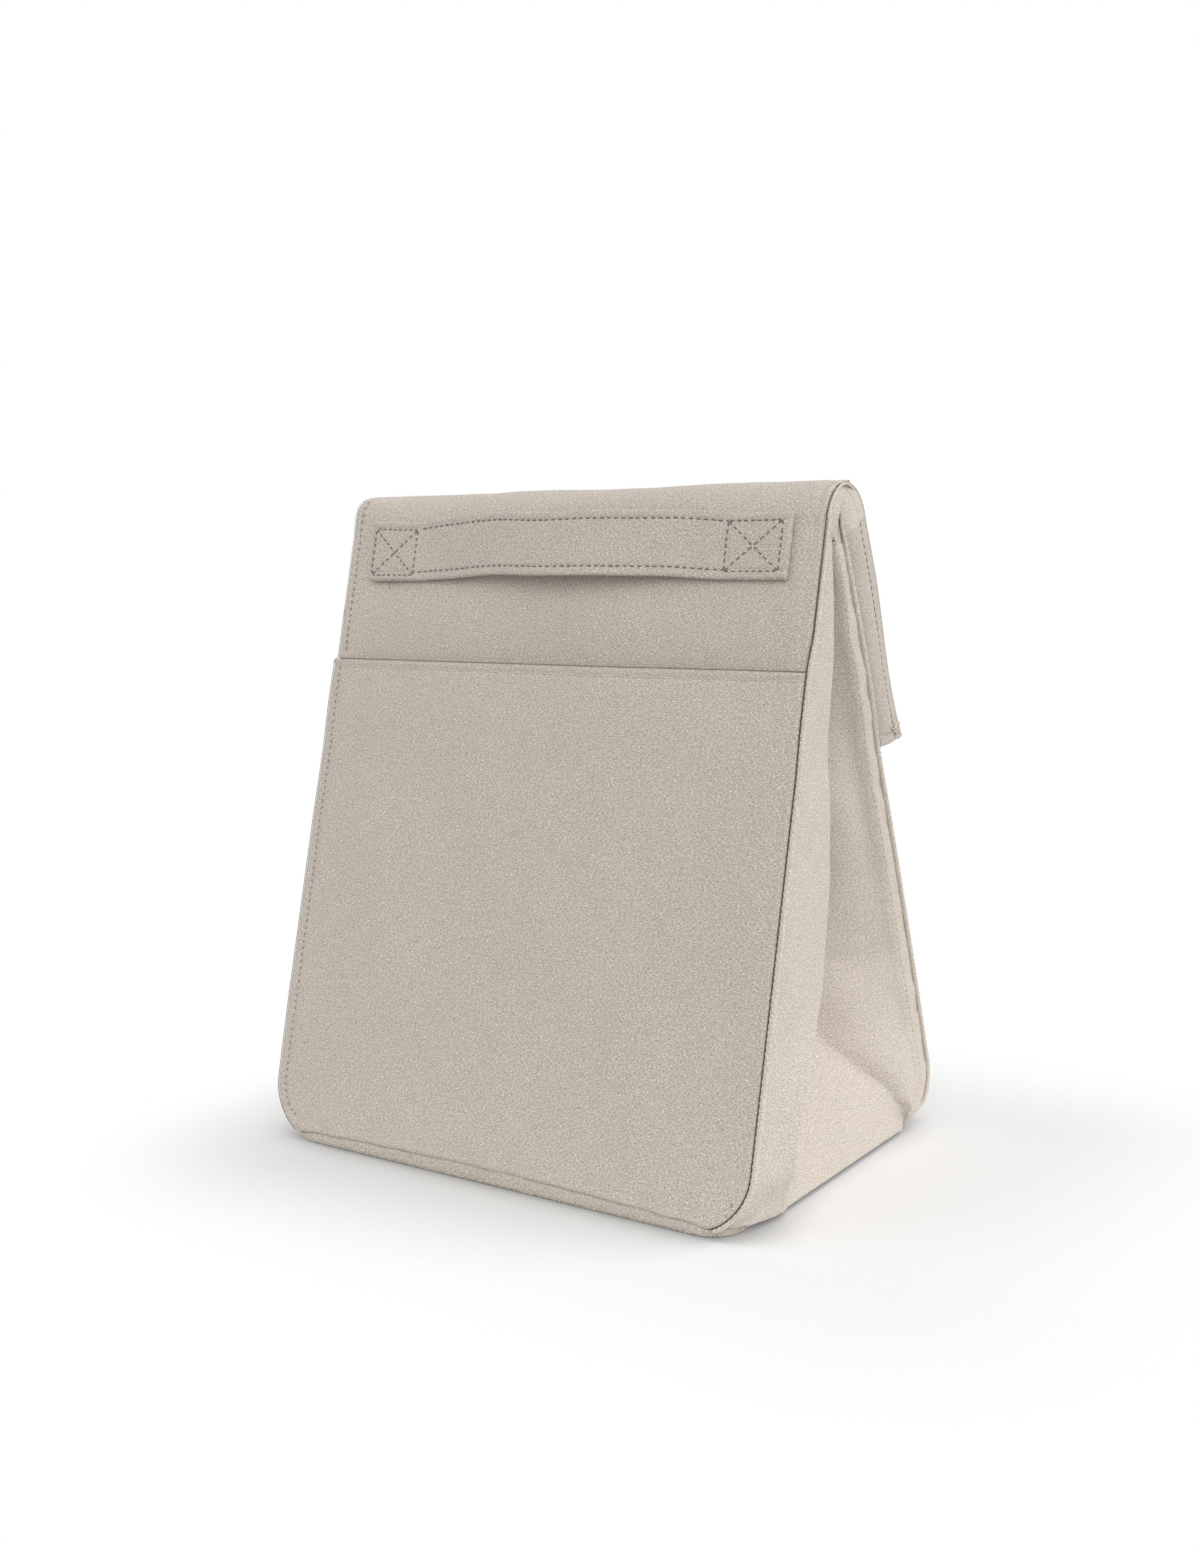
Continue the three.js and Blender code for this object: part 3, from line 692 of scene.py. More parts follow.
def front_layer(layer):
    near, far = LAYERS[layer]
    low = CORNER * (1 - np.cos(np.linspace(0, math.pi / 2, 20))) * FRONT_SEC
    rows = np.concatenate([low[:-1], lines(low[-1], STRAIGHT, 4), lines(STRAIGHT, STRAIGHT + ROLL_LENGTH, 1.6)[1:]])
    inset = 0 if layer == "cloth" else near + 2.2
    z = np.minimum(FOOT + rows / FRONT_SEC, FOOT + CORNER * 1.01)
    x = panel_x(corner_width(z, CORNER) - inset)
    s = spread(rows, x)
    out = front_relief(x, s) if layer == "cloth" else np.zeros(x.shape)
    face = front_face(x, s, out + dent(x, s))
    face[..., 2] += foot_lift(x, face[..., 2])
    return shell(f"front_{layer}", face, (0, -1, 0.05), (near, far), LAYER_MATERIAL[layer], (x, s))


for layer in LAYERS:
    attach(front_layer(layer), LAYER_WORD[layer], WITH_ROLL, f"front_{PANEL_WORD[layer]}",
           f"top_fold_{LAYER_WORD[layer]}", padded=layer == "padding",
           flat=(PANEL_FLAT, (STRAIGHT + ROLL_LENGTH) * MM), held="folded", area=0.0762)


# ---------------------------------------------------------------- back panel

def back_layer(layer):
    near, far = LAYERS[layer]
    rows = corner_rows(REAR_CORNER, NECK_TOP, 4)
    inset = 0 if layer == "cloth" else near + 1.5
    x = panel_x(rear_width(rows) - inset)
    z = spread(rows, x)
    relief = np.zeros(x.shape)
    if layer == "cloth":
        e = edge_distance(x, z, REAR_CORNER)
        relief = pillow(e) + (0.5 * waves(x, z, 60, 11) + 0.15 * waves(x, z, 22, 12)) * smooth(e / 14)
    face = np.stack([x, rear_y(z) + relief, z], axis=-1)
    return shell(f"back_{layer}", face, (0, 1, 0), (near, far), LAYER_MATERIAL[layer], (x, z))


for layer in LAYERS:
    attach(back_layer(layer), LAYER_WORD[layer], "bag", f"back_{PANEL_WORD[layer]}", padded=layer == "padding",
           flat=(PANEL_FLAT, 0.288), held="stretched")


# ---------------------------------------------------------------- side gussets

LOBE_SHARE = np.array([
    [0.02, 0.215], [0.055, 0.19], [0.1, 0.178], [0.17, 0.195], [0.246, 0.252], [0.336, 0.312], [0.4, 0.33],
    [0.69, 0.368], [0.9, 0.415], [1, 0.42],
])
WORD = {1: "right", -1: "left"}
GUSSET_FLAT = (0.215, 0.262)
SIDE_LENGTH = FRONT_FOOT + REAR_FOOT
LEG_CLEARANCE = 2 * GAP + THIN_LINER[1] + STACK * REAR_SEC


def lobe_share(z):
    """Where the front lobe's ridge stands at a height, as a share of the way from front to rear."""
    spots = np.clip((z + np.linspace(-5, 5, 9)) / FOLD_Z, 0.02, 1)
    return float(np.interp(spots, LOBE_SHARE[:, 0], LOBE_SHARE[:, 1]).mean())


def thinning(z):
    """0 where the gusset has its padding, 1 where only the lining is left in the neck."""
    return float(smooth((z - FOAM_TOP - 2) / 14))


def side_section(z, puff=0.0, margin=0.0):
    """Corners of a gusset's section at a height; puff swells its front lobe."""
    front, rear = front_y(z), float(rear_y(z))
    low = min(1, max(0, (z - FOOT) / (PLEAT_APEX - FOOT)))
    edge = HALF - BASE_INSET * max(0, 1 - z / CORNER)
    ridge = (edge + 1 + puff, lerp(front, rear, lobe_share(z)))
    lobe = ridge[1] - front
    leg = (SIDE_LENGTH - lobe) / 2
    half = (rear - ridge[1]) / 2
    depth = math.sqrt(max(leg ** 2 - half ** 2, 1))
    valley_x = HALF - lerp(depth * 0.8, depth, float(smooth((z - PLEAT_APEX) / 60)))
    valley_y = lerp(ridge[1], rear, 0.3)
    opening = 2.2
    clearance = LEG_CLEARANCE + (STACK - THIN_LINER[1]) * (1 - thinning(z))
    valley_front = (valley_x, max(valley_y - opening, front + clearance))
    valley_rear = (valley_x, min(valley_y + opening, rear - clearance))
    if low < 1:
        apex = (HALF - APEX_DEPTH, valley_y)
        x = lerp(edge + 1.2, apex[0], low ** 1.1)
        rear_x = lerp(edge + 2.4, apex[0], low)
        back = lerp(9, 26, float(smooth((z - FOOT) / 13)))
        flare = 2.2 * (1 - low) + 4.4 * float(smooth((z - FOOT) / 28) * (1 - smooth((z - 42) / 44)))
        ridge = (ridge[0] + flare, ridge[1] - 1.5 * max(0, flare - 2.2 * (1 - low)) - (1 - low))
        valley_front = (x, lerp(ridge[1] + 6, apex[1] - opening, low))
        valley_rear = (rear_x, lerp(rear - back, apex[1] + opening, low))
    end_x = float(rear_width(z))
    turn = max(0, 1 - (z - FOOT) / CORNER)
    knee = (end_x + 0.4 * min(1, margin), rear - clearance - 0.9 - margin)
    start = (float(corner_width(z, CORNER)), front + FOAM_START * FRONT_SEC)
    shoulder = (edge + lerp(0.8 + puff, -1.5, turn), front + FOAM_START * FRONT_SEC + lerp(0.35 * lobe, 4, turn))
    return start, shoulder, ridge, valley_front, valley_rear, knee, (end_x, rear - FOAM_START * REAR_SEC)


def bend(before, corner, after, reach, count):
    """Points round a corner between two others, rounded off from this far before it."""
    def toward(target):
        length = math.hypot(target[0] - corner[0], target[1] - corner[1])
        t = min(reach, 0.45 * length) / max(length, 1e-6)
        return lerp(corner[0], target[0], t), lerp(corner[1], target[1], t)

    a, b = toward(before), toward(after)
    return [
        tuple((1 - t) ** 2 * a[k] + 2 * t * (1 - t) * corner[k] + t ** 2 * b[k] for k in (0, 1))
        for t in np.linspace(0, 1, count + 1)
    ]


def between(a, b, count):
    return [(lerp(a[0], b[0], t), lerp(a[1], b[1], t)) for t in np.linspace(0, 1, count + 2)[1:-1]]


def bowed(a, b, count, rise, late=1.0):
    """Points between two corners on a line that swells to the outer side of the cloth, most of all late on it."""
    length = max(math.hypot(b[0] - a[0], b[1] - a[1]), 1e-6)
    out = ((b[1] - a[1]) / length, -(b[0] - a[0]) / length)
    points = []
    for t in np.linspace(0, 1, count + 2)[1:-1]:
        swell = rise * math.sin(math.pi * t ** late)
        points.append((lerp(a[0], b[0], t) + out[0] * swell, lerp(a[1], b[1], t) + out[1] * swell))
    return points


def coarse_path(z):
    """Section of a gusset's padding and lining at a height."""
    start, shoulder, ridge, valley, rear_valley, knee, end = side_section(z)
    return [
        start,
        *bend(start, shoulder, ridge, 24, 3),
        *bend(shoulder, ridge, valley, 7, 4),
        *bend(ridge, valley, rear_valley, 4, 2),
        *bend(valley, rear_valley, knee, 4, 2),
        *between(rear_valley, knee, 2),
        *bend(rear_valley, knee, end, 5, 2),
        end,
    ]


def fine_path(z):
    """Section of a gusset's cloth at a height, with its swells."""
    puff = 1.1 * float(smooth((z - 12) / 40)) - 1.3 * float(smooth((z - 110) / 70))
    margin = 1.6 * float(smooth((z - 20) / 30))
    start, shoulder, ridge, valley, rear_valley, knee, end = side_section(z, puff, margin)
    length = math.hypot(knee[0] - rear_valley[0], knee[1] - rear_valley[1])
    swell = min(0.2 * length, 0.34 * (knee[1] - ridge[1]), 4 + 13 * float(smooth((z - 90) / 80)))
    over_shoulder = bend(start, shoulder, ridge, 24, 14)
    over_ridge = bend(shoulder, ridge, valley, 2.2, 12)
    front_fold = bend(ridge, valley, rear_valley, 4, 5)
    rear_fold = bend(valley, rear_valley, knee, 3.4 + 6 * (1 - float(smooth(z / 50))), 8)
    over_knee = bend(rear_valley, knee, end, 5, 8)
    return [
        start,
        *over_shoulder,
        *between(over_shoulder[-1], over_ridge[0], 4),
        *over_ridge,
        *between(over_ridge[-1], front_fold[0], 8),
        *front_fold,
        *rear_fold,
        *bowed(rear_fold[-1], over_knee[0], 16, swell, 1 + 0.9 * float(smooth((z - 90) / 60))),
        *over_knee,
        *between(over_knee[-1], end, 5),
        end,
    ]


def mitred(path, depth):
    """A path moved square to itself by a depth, with mitred corners."""
    p = np.asarray(path, float)
    seg = unit(np.diff(p, axis=0))
    before = np.vstack([seg[:1], seg])
    after = np.vstack([seg, seg[-1:]])
    total = before + after
    length = np.maximum(np.linalg.norm(total, axis=1), 0.2)
    stretch = depth / np.maximum(length / 2, 0.5)
    return p + np.stack([-stretch * total[:, 1] / length, stretch * total[:, 0] / length], axis=1)


def inset_path(path, depth, reach, z):
    """A gusset's section moved inwards, and kept clear of the front and back panels' layers."""
    moved = mitred(path, depth)
    last = len(path) - 1
    order = np.arange(len(path))
    low = front_y(z) + (reach + GAP) * FRONT_SEC + 0.12 * np.minimum(3, order)
    high = float(rear_y(z)) - (reach + GAP) * REAR_SEC - 0.12 * np.minimum(3, last - order)
    moved[:, 1] = np.minimum(high, np.maximum(low, moved[:, 1]))
    return moved


# columns of the gusset's cloth, counted along fine_path
RIDGE_MIDDLE = 1 + 15 + 4 + 6
RIDGE_END = 1 + 15 + 4 + 13
KNEE_COLUMN = RIDGE_END + 8 + 6 + 9 + 16 + 5


def side_cloth(side):
    """Outer gusset cloth, finely divided so that it can pucker along its seams."""
    rows = corner_rows(CORNER, NECK_TOP, 2.6, count=16)
    grid = np.array([fine_path(z) for z in rows])
    run = distance_along(grid)
    z = spread(rows, run)
    behind = grid[:1, :, 1] - front_y(FOOT)
    drop = (1 + 1.7 * smooth((behind - 6) / 24) + 0.5 * smooth((behind - 33) / 5)) * (1 - smooth((z - FOOT) / 14))
    z = z - drop
    face = np.stack([side * grid[..., 0], grid[..., 1], z], axis=-1)
    out = grid_normals(face, (side, 0, 0))
    seam = np.minimum(run, run[:, -1:] - run)
    low = z + drop - FOOT
    pucker = 0.22 * waves(z, z * 0.2, 9, 21 + side) * bump(seam - 3, 5)
    pucker += 0.3 * waves(run, z, 9, 31 + side) * bump(low - 2, 8)
    roll = (0.55 * waves(run, z, 46, 41 + side) + 0.16 * waves(run, z, 17, 51 + side)) * smooth((seam - 2) / 12)
    face = face + out * ((pucker + roll * smooth(low / 14))[..., None])
    piece = shell(f"gusset_cloth_{WORD[side]}", face, (side, 0, 0), LAYERS["cloth"], MATERIALS["gusset"], (run, z))
    return piece, face, out


def side_layer(side, layer):
    rows = corner_rows(CORNER, FOAM_TOP if layer == "padding" else NECK_TOP, 6, count=16)
    reach = LAYERS[layer][1]
    faces = []
    for which in (0, 1):
        grid = []
        for z in rows:
            depth = LAYERS[layer][which]
            if layer == "lining":
                depth = lerp(depth, THIN_LINER[which], thinning(z))
            grid.append(inset_path(coarse_path(z), depth + 0.15, reach, z))
        grid = np.array(grid)
        faces.append(np.stack([side * grid[..., 0], grid[..., 1], spread(rows, grid)], axis=-1))
    outer, inner = faces
    return closed_sheet(f"gusset_{layer}_{WORD[side]}", outer, inner, LAYER_MATERIAL[layer],
                        (outer[..., 1], outer[..., 2]))


side_faces = {}
for side, word in WORD.items():
    piece, *side_faces[side] = side_cloth(side)
    attach(piece, "fabric", "bag", f"{word}_gusset", flat=GUSSET_FLAT, held="folded")
    for layer in ("padding", "lining"):
        attach(side_layer(side, layer), LAYER_WORD[layer], "bag", f"{word}_gusset_{LAYER_WORD[layer]}",
               padded=layer == "padding", flat=GUSSET_FLAT, held="folded")


# ---------------------------------------------------------------- flap

FLAP_DOWN = np.array([math.sin(FLAP_ANGLE), -math.cos(FLAP_ANGLE)])
FLAP_OUT = np.array([math.cos(FLAP_ANGLE), math.sin(FLAP_ANGLE)])
CREASE_OUT = np.array([math.cos(REAR_ANGLE), math.sin(REAR_ANGLE)])
CREASE_CENTRE = np.array([float(rear_y(CREASE_Z)), CREASE_Z]) + FLAP_GAP / 2 * CREASE_OUT
WITH_MOUTH = bending("flap", "mouth", ROLL_END, np.array(ROLL_END) + 16 * FLAP_DOWN)


def outer_point(s):
    flare = MOUTH_FLARE * np.maximum(0, (s / FLAP_LENGTH - 0.55) / 0.45) ** 2
    flare = flare + 1.7 * np.sin(math.pi * np.clip(s / FLAP_LENGTH, 0, 1)) ** 2
    flare = flare + 1.2 * bump(s - 26, 20) * smooth(s / 12)
    y = ROLL_END[0] + s * FLAP_DOWN[0] + flare * FLAP_OUT[0]
    z = ROLL_END[1] + s * FLAP_DOWN[1] + flare * FLAP_OUT[1]
    return y, z


def inner_point(z, off):
    return rear_y(z) + off * CREASE_OUT[0], z + off * CREASE_OUT[1]


MOUTH_Z = float(outer_point(FLAP_LENGTH)[1]) - 1
INNER_TOP = CREASE_Z - CREASE_TAIL


def flap_face(x, s):
    """Outer face of the flap's cloth, drawn in by its hem stitches and at its root."""
    soft = 0.4 * waves(x, s, 60, 61) + 0.15 * waves(x, s, 20, 62)
    e = HALF - np.abs(x)
    relief = pillow(e) + soft * smooth(e / 14) * smooth(s / 12)
    relief = relief - 0.35 * bump(s - (FLAP_LENGTH - FLAP_HEM), 0.8) - 0.2 * bump(s, 0.8)
    y, z = outer_point(s)
    return np.stack([x, y + relief * FLAP_OUT[0], z + relief * FLAP_OUT[1]], axis=-1)


def flap_outer(layer):
    near, far = LAYERS[layer]
    end = FLAP_LENGTH if layer == "cloth" else FLAP_LENGTH - 3
    rows = lines(0.04, end, 3, (end, end - 4, 0), 1.5, 0.35)
    x = panel_x(np.full(len(rows), HALF - (0 if layer == "cloth" else near + 2)))
    s = spread(rows, x)
    face, edge = np.stack([x, *outer_point(s)], axis=-1), None
    if layer == "cloth":
        face, edge = flap_face(x, s), np.minimum(end - s, 5)
        far = far + 2.6 * smooth((s - end + 7) / 3)
    return shell(f"flap_outer_{layer}", face, (0, 1, 0.3), (near, far), LAYER_MATERIAL[layer], (x, s + 400),
                 edge=edge)


def flap_inner(layer):
    near, far = LAYERS[layer]
    low = MOUTH_Z if layer == "cloth" else MOUTH_Z + 3
    rows = lines(low, INNER_TOP - 0.2, 4, (low,), 2, 0.4)
    x = panel_x(np.full(len(rows), HALF - (2.4 if layer == "cloth" else near + 3)))
    s = spread(rows, x)
    if layer == "cloth":
        far = far + 2.6 * smooth((low + 7 - s) / 3)
    face = np.stack([x, *inner_point(s, FLAP_GAP)], axis=-1)
    return shell(f"flap_inner_{layer}", face, (0, -1, -0.3), (near, far), LAYER_MATERIAL[layer], (x, s + 700))


def crease_layer(layer):
    near, far = LAYERS[layer]
    turn = np.linspace(math.pi + REAR_ANGLE, REAR_ANGLE, 15)
    y, z = on_circle(CREASE_CENTRE, FLAP_GAP / 2, turn)
    ty, tz = inner_point(np.linspace(CREASE_Z, INNER_TOP, 7)[1:], FLAP_GAP)
    path = np.stack([np.concatenate([y, ty]), np.concatenate([z, tz])], axis=1)
    x = panel_x(np.full(len(path), HALF - (1 if layer == "cloth" else near + 2)))
    inward = np.linalg.norm(mitred(path, 1.0) - CREASE_CENTRE, axis=1)[3] < FLAP_GAP / 2
    outer, inner = (
        np.stack(np.broadcast_arrays(x, g[:, :1], g[:, 1:]), axis=-1)
        for g in (mitred(path, -depth if inward else depth) for depth in (near, far))
    )
    return closed_sheet(f"crease_{layer}", outer, inner, LAYER_MATERIAL[layer], (x, distance_along(path)[:, None]))


WITH_CREASE = bending("bag", "flap", CREASE_CENTRE - FLAP_GAP / 2 * CREASE_OUT,
                      CREASE_CENTRE + FLAP_GAP / 2 * CREASE_OUT)
for layer, word in LAYER_WORD.items():
    crease_length = (math.pi * (FLAP_GAP / 2 + sum(LAYERS[layer]) / 2) + CREASE_TAIL * REAR_SEC) * MM
    for piece, moves, part, length in (
        (flap_outer(layer), WITH_MOUTH, "outer", 0.101),
        (flap_inner(layer), "flap", "inner", 0.083),
        (crease_layer(layer), WITH_CREASE, "", crease_length),
    ):
        nodes = [f"flap_{part}_{word}" if part else f"crease_{word}"]
        if part and layer == "cloth":
            nodes.append(f"mouth_hem_{part}")
        attach(piece, word, moves, *nodes, padded=layer == "padding", flat=(PANEL_FLAT, length), held="folded")


# ---------------------------------------------------------------- sides of the flap and of the roll

def side_gap(s):
    """Depth between the flap's two layers at this distance down the flap, square to its outer face."""
    y, z = outer_point(np.asarray(s, float))
    reach = np.linspace(0, 45, 451)
    gaps = []
    for py, pz in zip(np.atleast_1d(y), np.atleast_1d(z)):
        qy, qz = py - reach * FLAP_OUT[0], pz - reach * FLAP_OUT[1]
        level = np.minimum(qz, CREASE_Z)
        off = (qy - rear_y(level)) * CREASE_OUT[0] + (qz - level) * CREASE_OUT[1]
        hit = np.argmax(off < 0.5)
        gaps.append(reach[hit] if hit else 24.0)
    return np.array(gaps)


MARGIN = 10.4
LOBE_SPOTS = np.concatenate([
    lines(0, MARGIN, 1.2, (0, MARGIN), 0.6, 0.4),
    MARGIN + lines(0, 1, 0.05, (0,), 0.02, 0.03)[1:],
])


def lobe_profile(depth, rise):
    """Distance out from the seam plane, and depth below the flap's outer face, across a side lobe."""
    margin = min(MARGIN, 0.36 * depth)
    flat = LOBE_SPOTS <= MARGIN
    t = np.clip(LOBE_SPOTS - MARGIN, 0, 1)
    d = np.where(flat, LOBE_SPOTS * margin / MARGIN, margin + t * (depth - margin))
    x = 0.5 - 0.9 * (1 - np.clip(d / margin, 0, 1)) ** 1.3 + rise * np.sin(math.pi * t) ** 0.75
    x = x - 0.5 * smooth((t - 0.8) / 0.2) - 0.3 * bump(d - margin, 0.6)
    return x, d + 0.75


def flap_side(side):
    rows = lines(0, FLAP_LENGTH + 0.1, 2.2, (FLAP_LENGTH - SIDE_HEM, FLAP_LENGTH), 1.5, 0.5)
    grid = []
    for s, depth in zip(rows, side_gap(rows)):
        low = float(smooth((s - FLAP_LENGTH + 12) / 12))
        out, d = lobe_profile(depth - 1.2, 1.7 * (1 - 0.6 * low))
        calm = (1 - low) * float(smooth(s / 12))
        out = out + 0.35 * calm * waves(d, np.full(d.shape, s), 26, 71 + side) * smooth((d - MARGIN) / 5)
        out = out - 0.3 * float(bump(s - FLAP_LENGTH + SIDE_HEM, 0.7)) - 0.25 * float(bump(s - FLAP_LENGTH, 0.6))
        tail = np.linspace(0.1, 1, 8)
        tail_x = np.concatenate([[-0.4, -0.5, -1.5], -1.5 - 60 * tail])
        tail_d = np.concatenate([[d[-1] - 1.2, 13, 11], np.full(8, 10.3)])
        x = HALF + np.concatenate([out, tail_x])
        d = np.concatenate([d, np.minimum(tail_d, d[-1] - 1)])
        y, z = outer_point(s - 7.2 * d / 26 * float(smooth(s / FLAP_LENGTH)))
        grid.append(np.stack([side * x, y - d * FLAP_OUT[0], z - d * FLAP_OUT[1]], axis=1))
    face = np.array(grid)
    run = distance_along(face)
    piece = shell(f"flap_side_outer_{WORD[side]}", face, (side, 0, 0), (0, SIDE_SHEET), MATERIALS["flap_side"],
                  (run, rows[:, None]), columns=12)
    return piece, face, rows


def flap_side_inner(side):
    rows = lines(MOUTH_Z + 0.5, INNER_TOP - 0.5, 5)
    section = [(HALF - 3.2, 0.9), (HALF - 2.6, 1.6), (HALF - 2.6, 2.2), (HALF - 3.2, 2.9), (HALF - 5, 3.6),
               (HALF - 12, 4.4), (HALF - 30, 4.8), (HALF - 70, 4.8)]
    face = np.array([[(side * x, *inner_point(z, FLAP_GAP + d)) for x, d in section] for z in rows])
    run = np.arange(len(section)) * 5.0
    return shell(f"flap_side_inner_{WORD[side]}", face, (side, 0, 0), (0, SIDE_SHEET), MATERIALS["gusset"],
                 (run, rows[:, None]))


RIDGE_TIP = np.array([[253.4, -29.6], [262.3, -28.8], [268.1, -26.8], [272.7, -24.8], [282.0, -21.8], [284.5, -20.8]])


def roll_side(side):
    """Side of the roll: from the flap's side, round the rear of the roll, to the tip of the front lobe."""
    angles = np.linspace(FLAP_ANGLE, math.radians(108), 40)
    reach = float(side_gap([0.0])[0]) - 0.45
    first = np.array(ROLL_END) - reach * FLAP_OUT
    grid = []
    for a in angles:
        share = (a - FLAP_ANGLE) / (angles[-1] - FLAP_ANGLE)
        rim = np.array(on_circle((FOLD_Y, FOLD_Z), FOLD_RADIUS, a))
        inner = lerp(first, np.array([-26.5, 277.0]), float(smooth(share)) ** 0.8)
        way = inner - rim
        depth = float(np.linalg.norm(way))
        out, d = lobe_profile(depth - 0.75, 1.7 * (1 - 0.8 * share))
        spots = rim + np.outer(d, way / depth)
        sunk = 0.2 * float(smooth(share * 1.3)) + 1.6 * share ** 2 * smooth((d / depth - 0.6) / 0.3)
        grid.append(np.stack([side * (HALF + out - sunk), spots[:, 0], spots[:, 1]], axis=1))
    face = np.array(grid)
    run = distance_along(face)
    return shell(f"roll_side_{WORD[side]}", face, (side, 0, 0), (0, SIDE_SHEET), MATERIALS["gusset"],
                 (run, np.degrees(-angles[:, None]) * 0.33))


def fin_edge(z):
    """Where the rear seam's margin ends above the back panel."""
    return lerp(float(rear_y(z)) - 0.7, -22.2, float(smooth((z - NECK_TOP - 1) / 11)))


def neck_fin(side):
    """The rear seam's margin above the gusset: a narrow strip behind the pleat's mouth, closed above it."""
    rows = lines(NECK_TOP - 12, 281.5, 1.0)
    grid = []
    for z in rows:
        line = float(np.interp(z, RIDGE_TIP[:, 0], RIDGE_TIP[:, 1]))
        under = float(smooth((z - 270) / 4))
        rear = lerp(fin_edge(z), -11.0, float(smooth((z - 272) / 6)))
        strip = lerp(line - 3, rear - 1.8, float(np.clip((270 - z) / 15, 0, 1)) ** 0.8)
        low = float(smooth((NECK_TOP - z) / 6))
        x = HALF + lerp(-0.5, -2.2, under) + np.array([-13, -12, -9, -4, -1.2, -0.3, -0.1, 0.05, 0.1])
        y = np.array([line - 1, line + 1, strip - 0.9, strip - 0.6, strip - 0.35, strip, lerp(strip, rear, 0.3),
                      lerp(strip, rear, 0.7), rear])
        y[:2] = lerp(y[:2], strip - np.array([2.0, 1.4]), low)
        grid.append(np.stack([side * x, y, np.full(9, z)], axis=1))
    face = np.array(grid)
    run = distance_along(face)
    return shell(f"neck_fin_{WORD[side]}", face, (side, 0, 0), (0, FIN_SHEET), MATERIALS["gusset"],
                 (run, rows[:, None]))


def lobe_tip(side):
    """The front lobe carried on from the gusset's top over the front of the roll, where it runs to a point."""
    rows = np.concatenate([[NECK_TOP - 0.8, NECK_TOP], lines(NECK_TOP + 0.8, 281, 1.2), [282, 282.8, 283.4, 283.9]])
    top = side_faces[side][0][-1, :RIDGE_END]
    seen = side * top[:, 0]
    width_below = top[RIDGE_MIDDLE, 1] - top[0, 1]
    spots = (top[:, 1] - top[0, 1]) / width_below
    over = FOLD_RADIUS - FOAM_START
    grid = []
    for z in rows:
        y0 = front_y(z) + FOAM_START * FRONT_SEC
        if z > TANGENT[1]:
            y0 = FOLD_Y - math.sqrt(max(over ** 2 - (z - FOLD_Z) ** 2, 0))
        line = float(np.interp(z, RIDGE_TIP[:, 0], RIDGE_TIP[:, 1])) - 2.2
        new = float(smooth((z - NECK_TOP) / 7))
        width = max(lerp(width_below, line - y0, new), 0.4)
        rise = 2.0 * new * min(1, width / 4)
        x = seen + rise * np.clip(spots * 1.6, 0, 1) - 0.1 * (z < NECK_TOP)
        fold = np.linspace(0.2, 1, 5)
        x = np.concatenate([x, x[-1] - 12.5 * fold])
        y = np.concatenate([y0 + spots * width, y0 + spots[-1] * width + 0.6 * fold - 1.2 * fold ** 2])
        grid.append(np.stack([side * x, y, np.full(x.shape, z)], axis=1))
    face = np.array(grid)
    run = distance_along(face)
    return shell(f"lobe_tip_{WORD[side]}", face, (side, 0, 0), (0, FIN_SHEET), MATERIALS["gusset"],
                 (run, rows[:, None]), columns=16)


WITH_TIP = ("bag", "flap", (0, -0.0355, 0.2691), (0, -0.0020, 0.3056))
flap_faces = {}
for side, word in WORD.items():
    piece, *flap_faces[side] = flap_side(side)
    attach(piece, "fabric", WITH_MOUTH, f"flap_gusset_outer_{word}", flat=(0.085, 0.100), held="folded")
    attach(flap_side_inner(side), "fabric", "flap", f"flap_gusset_inner_{word}", flat=(0.074, 0.085), held="folded")
    attach(roll_side(side), "fabric", WITH_ROLL, f"fold_gusset_{word}", flat=(0.034, 0.022), held="folded",
           area=0.0005)
    attach(lobe_tip(side), "fabric", WITH_TIP, flat=(0.026, 0.030), held="folded", area=0.0006)
    attach(neck_fin(side), "fabric", "bag", flat=(0.026, 0.032), held="folded", area=0.0006)


# ---------------------------------------------------------------- hook and loop strips

def grip_strip(name, side, near, far, bristles):
    centre = lerp(MOUTH_Z, CREASE_Z, 0.34)
    rows = np.linspace(-0.5, 0.5, 40) * GRIP_HEIGHT + centre
    cols = np.linspace(-0.5, 0.5, 28) * GRIP_WIDTH
    x, z = np.meshgrid(cols, rows)
    edge = np.minimum(GRIP_WIDTH / 2 - np.abs(x), GRIP_HEIGHT / 2 - np.abs(z - centre))
    rough = 0.16 * waves(x * 3, z * 3, 6, bristles) * smooth(edge / 2)
    y, zz = inner_point(z, far)
    face = np.stack([side * GRIP_OFFSET + x, y + rough * 0.5, zz], axis=-1)
    return shell(name, face, (0, 1, 0), (0, far - near), MATERIALS["grip"], (x, z), edge=edge + 0.02)


for side, word in WORD.items():
    for name, body, near, waviness in (("loop", "bag", GAP, 81), ("hook", "flap", 2 * GAP + GRIP_THICKNESS, 82)):
        piece = grip_strip(f"{name}_{word}", side, near, near + GRIP_THICKNESS, waviness)
        attach(piece, "grip", body, f"{name}_strip_{word}")


# ---------------------------------------------------------------- base

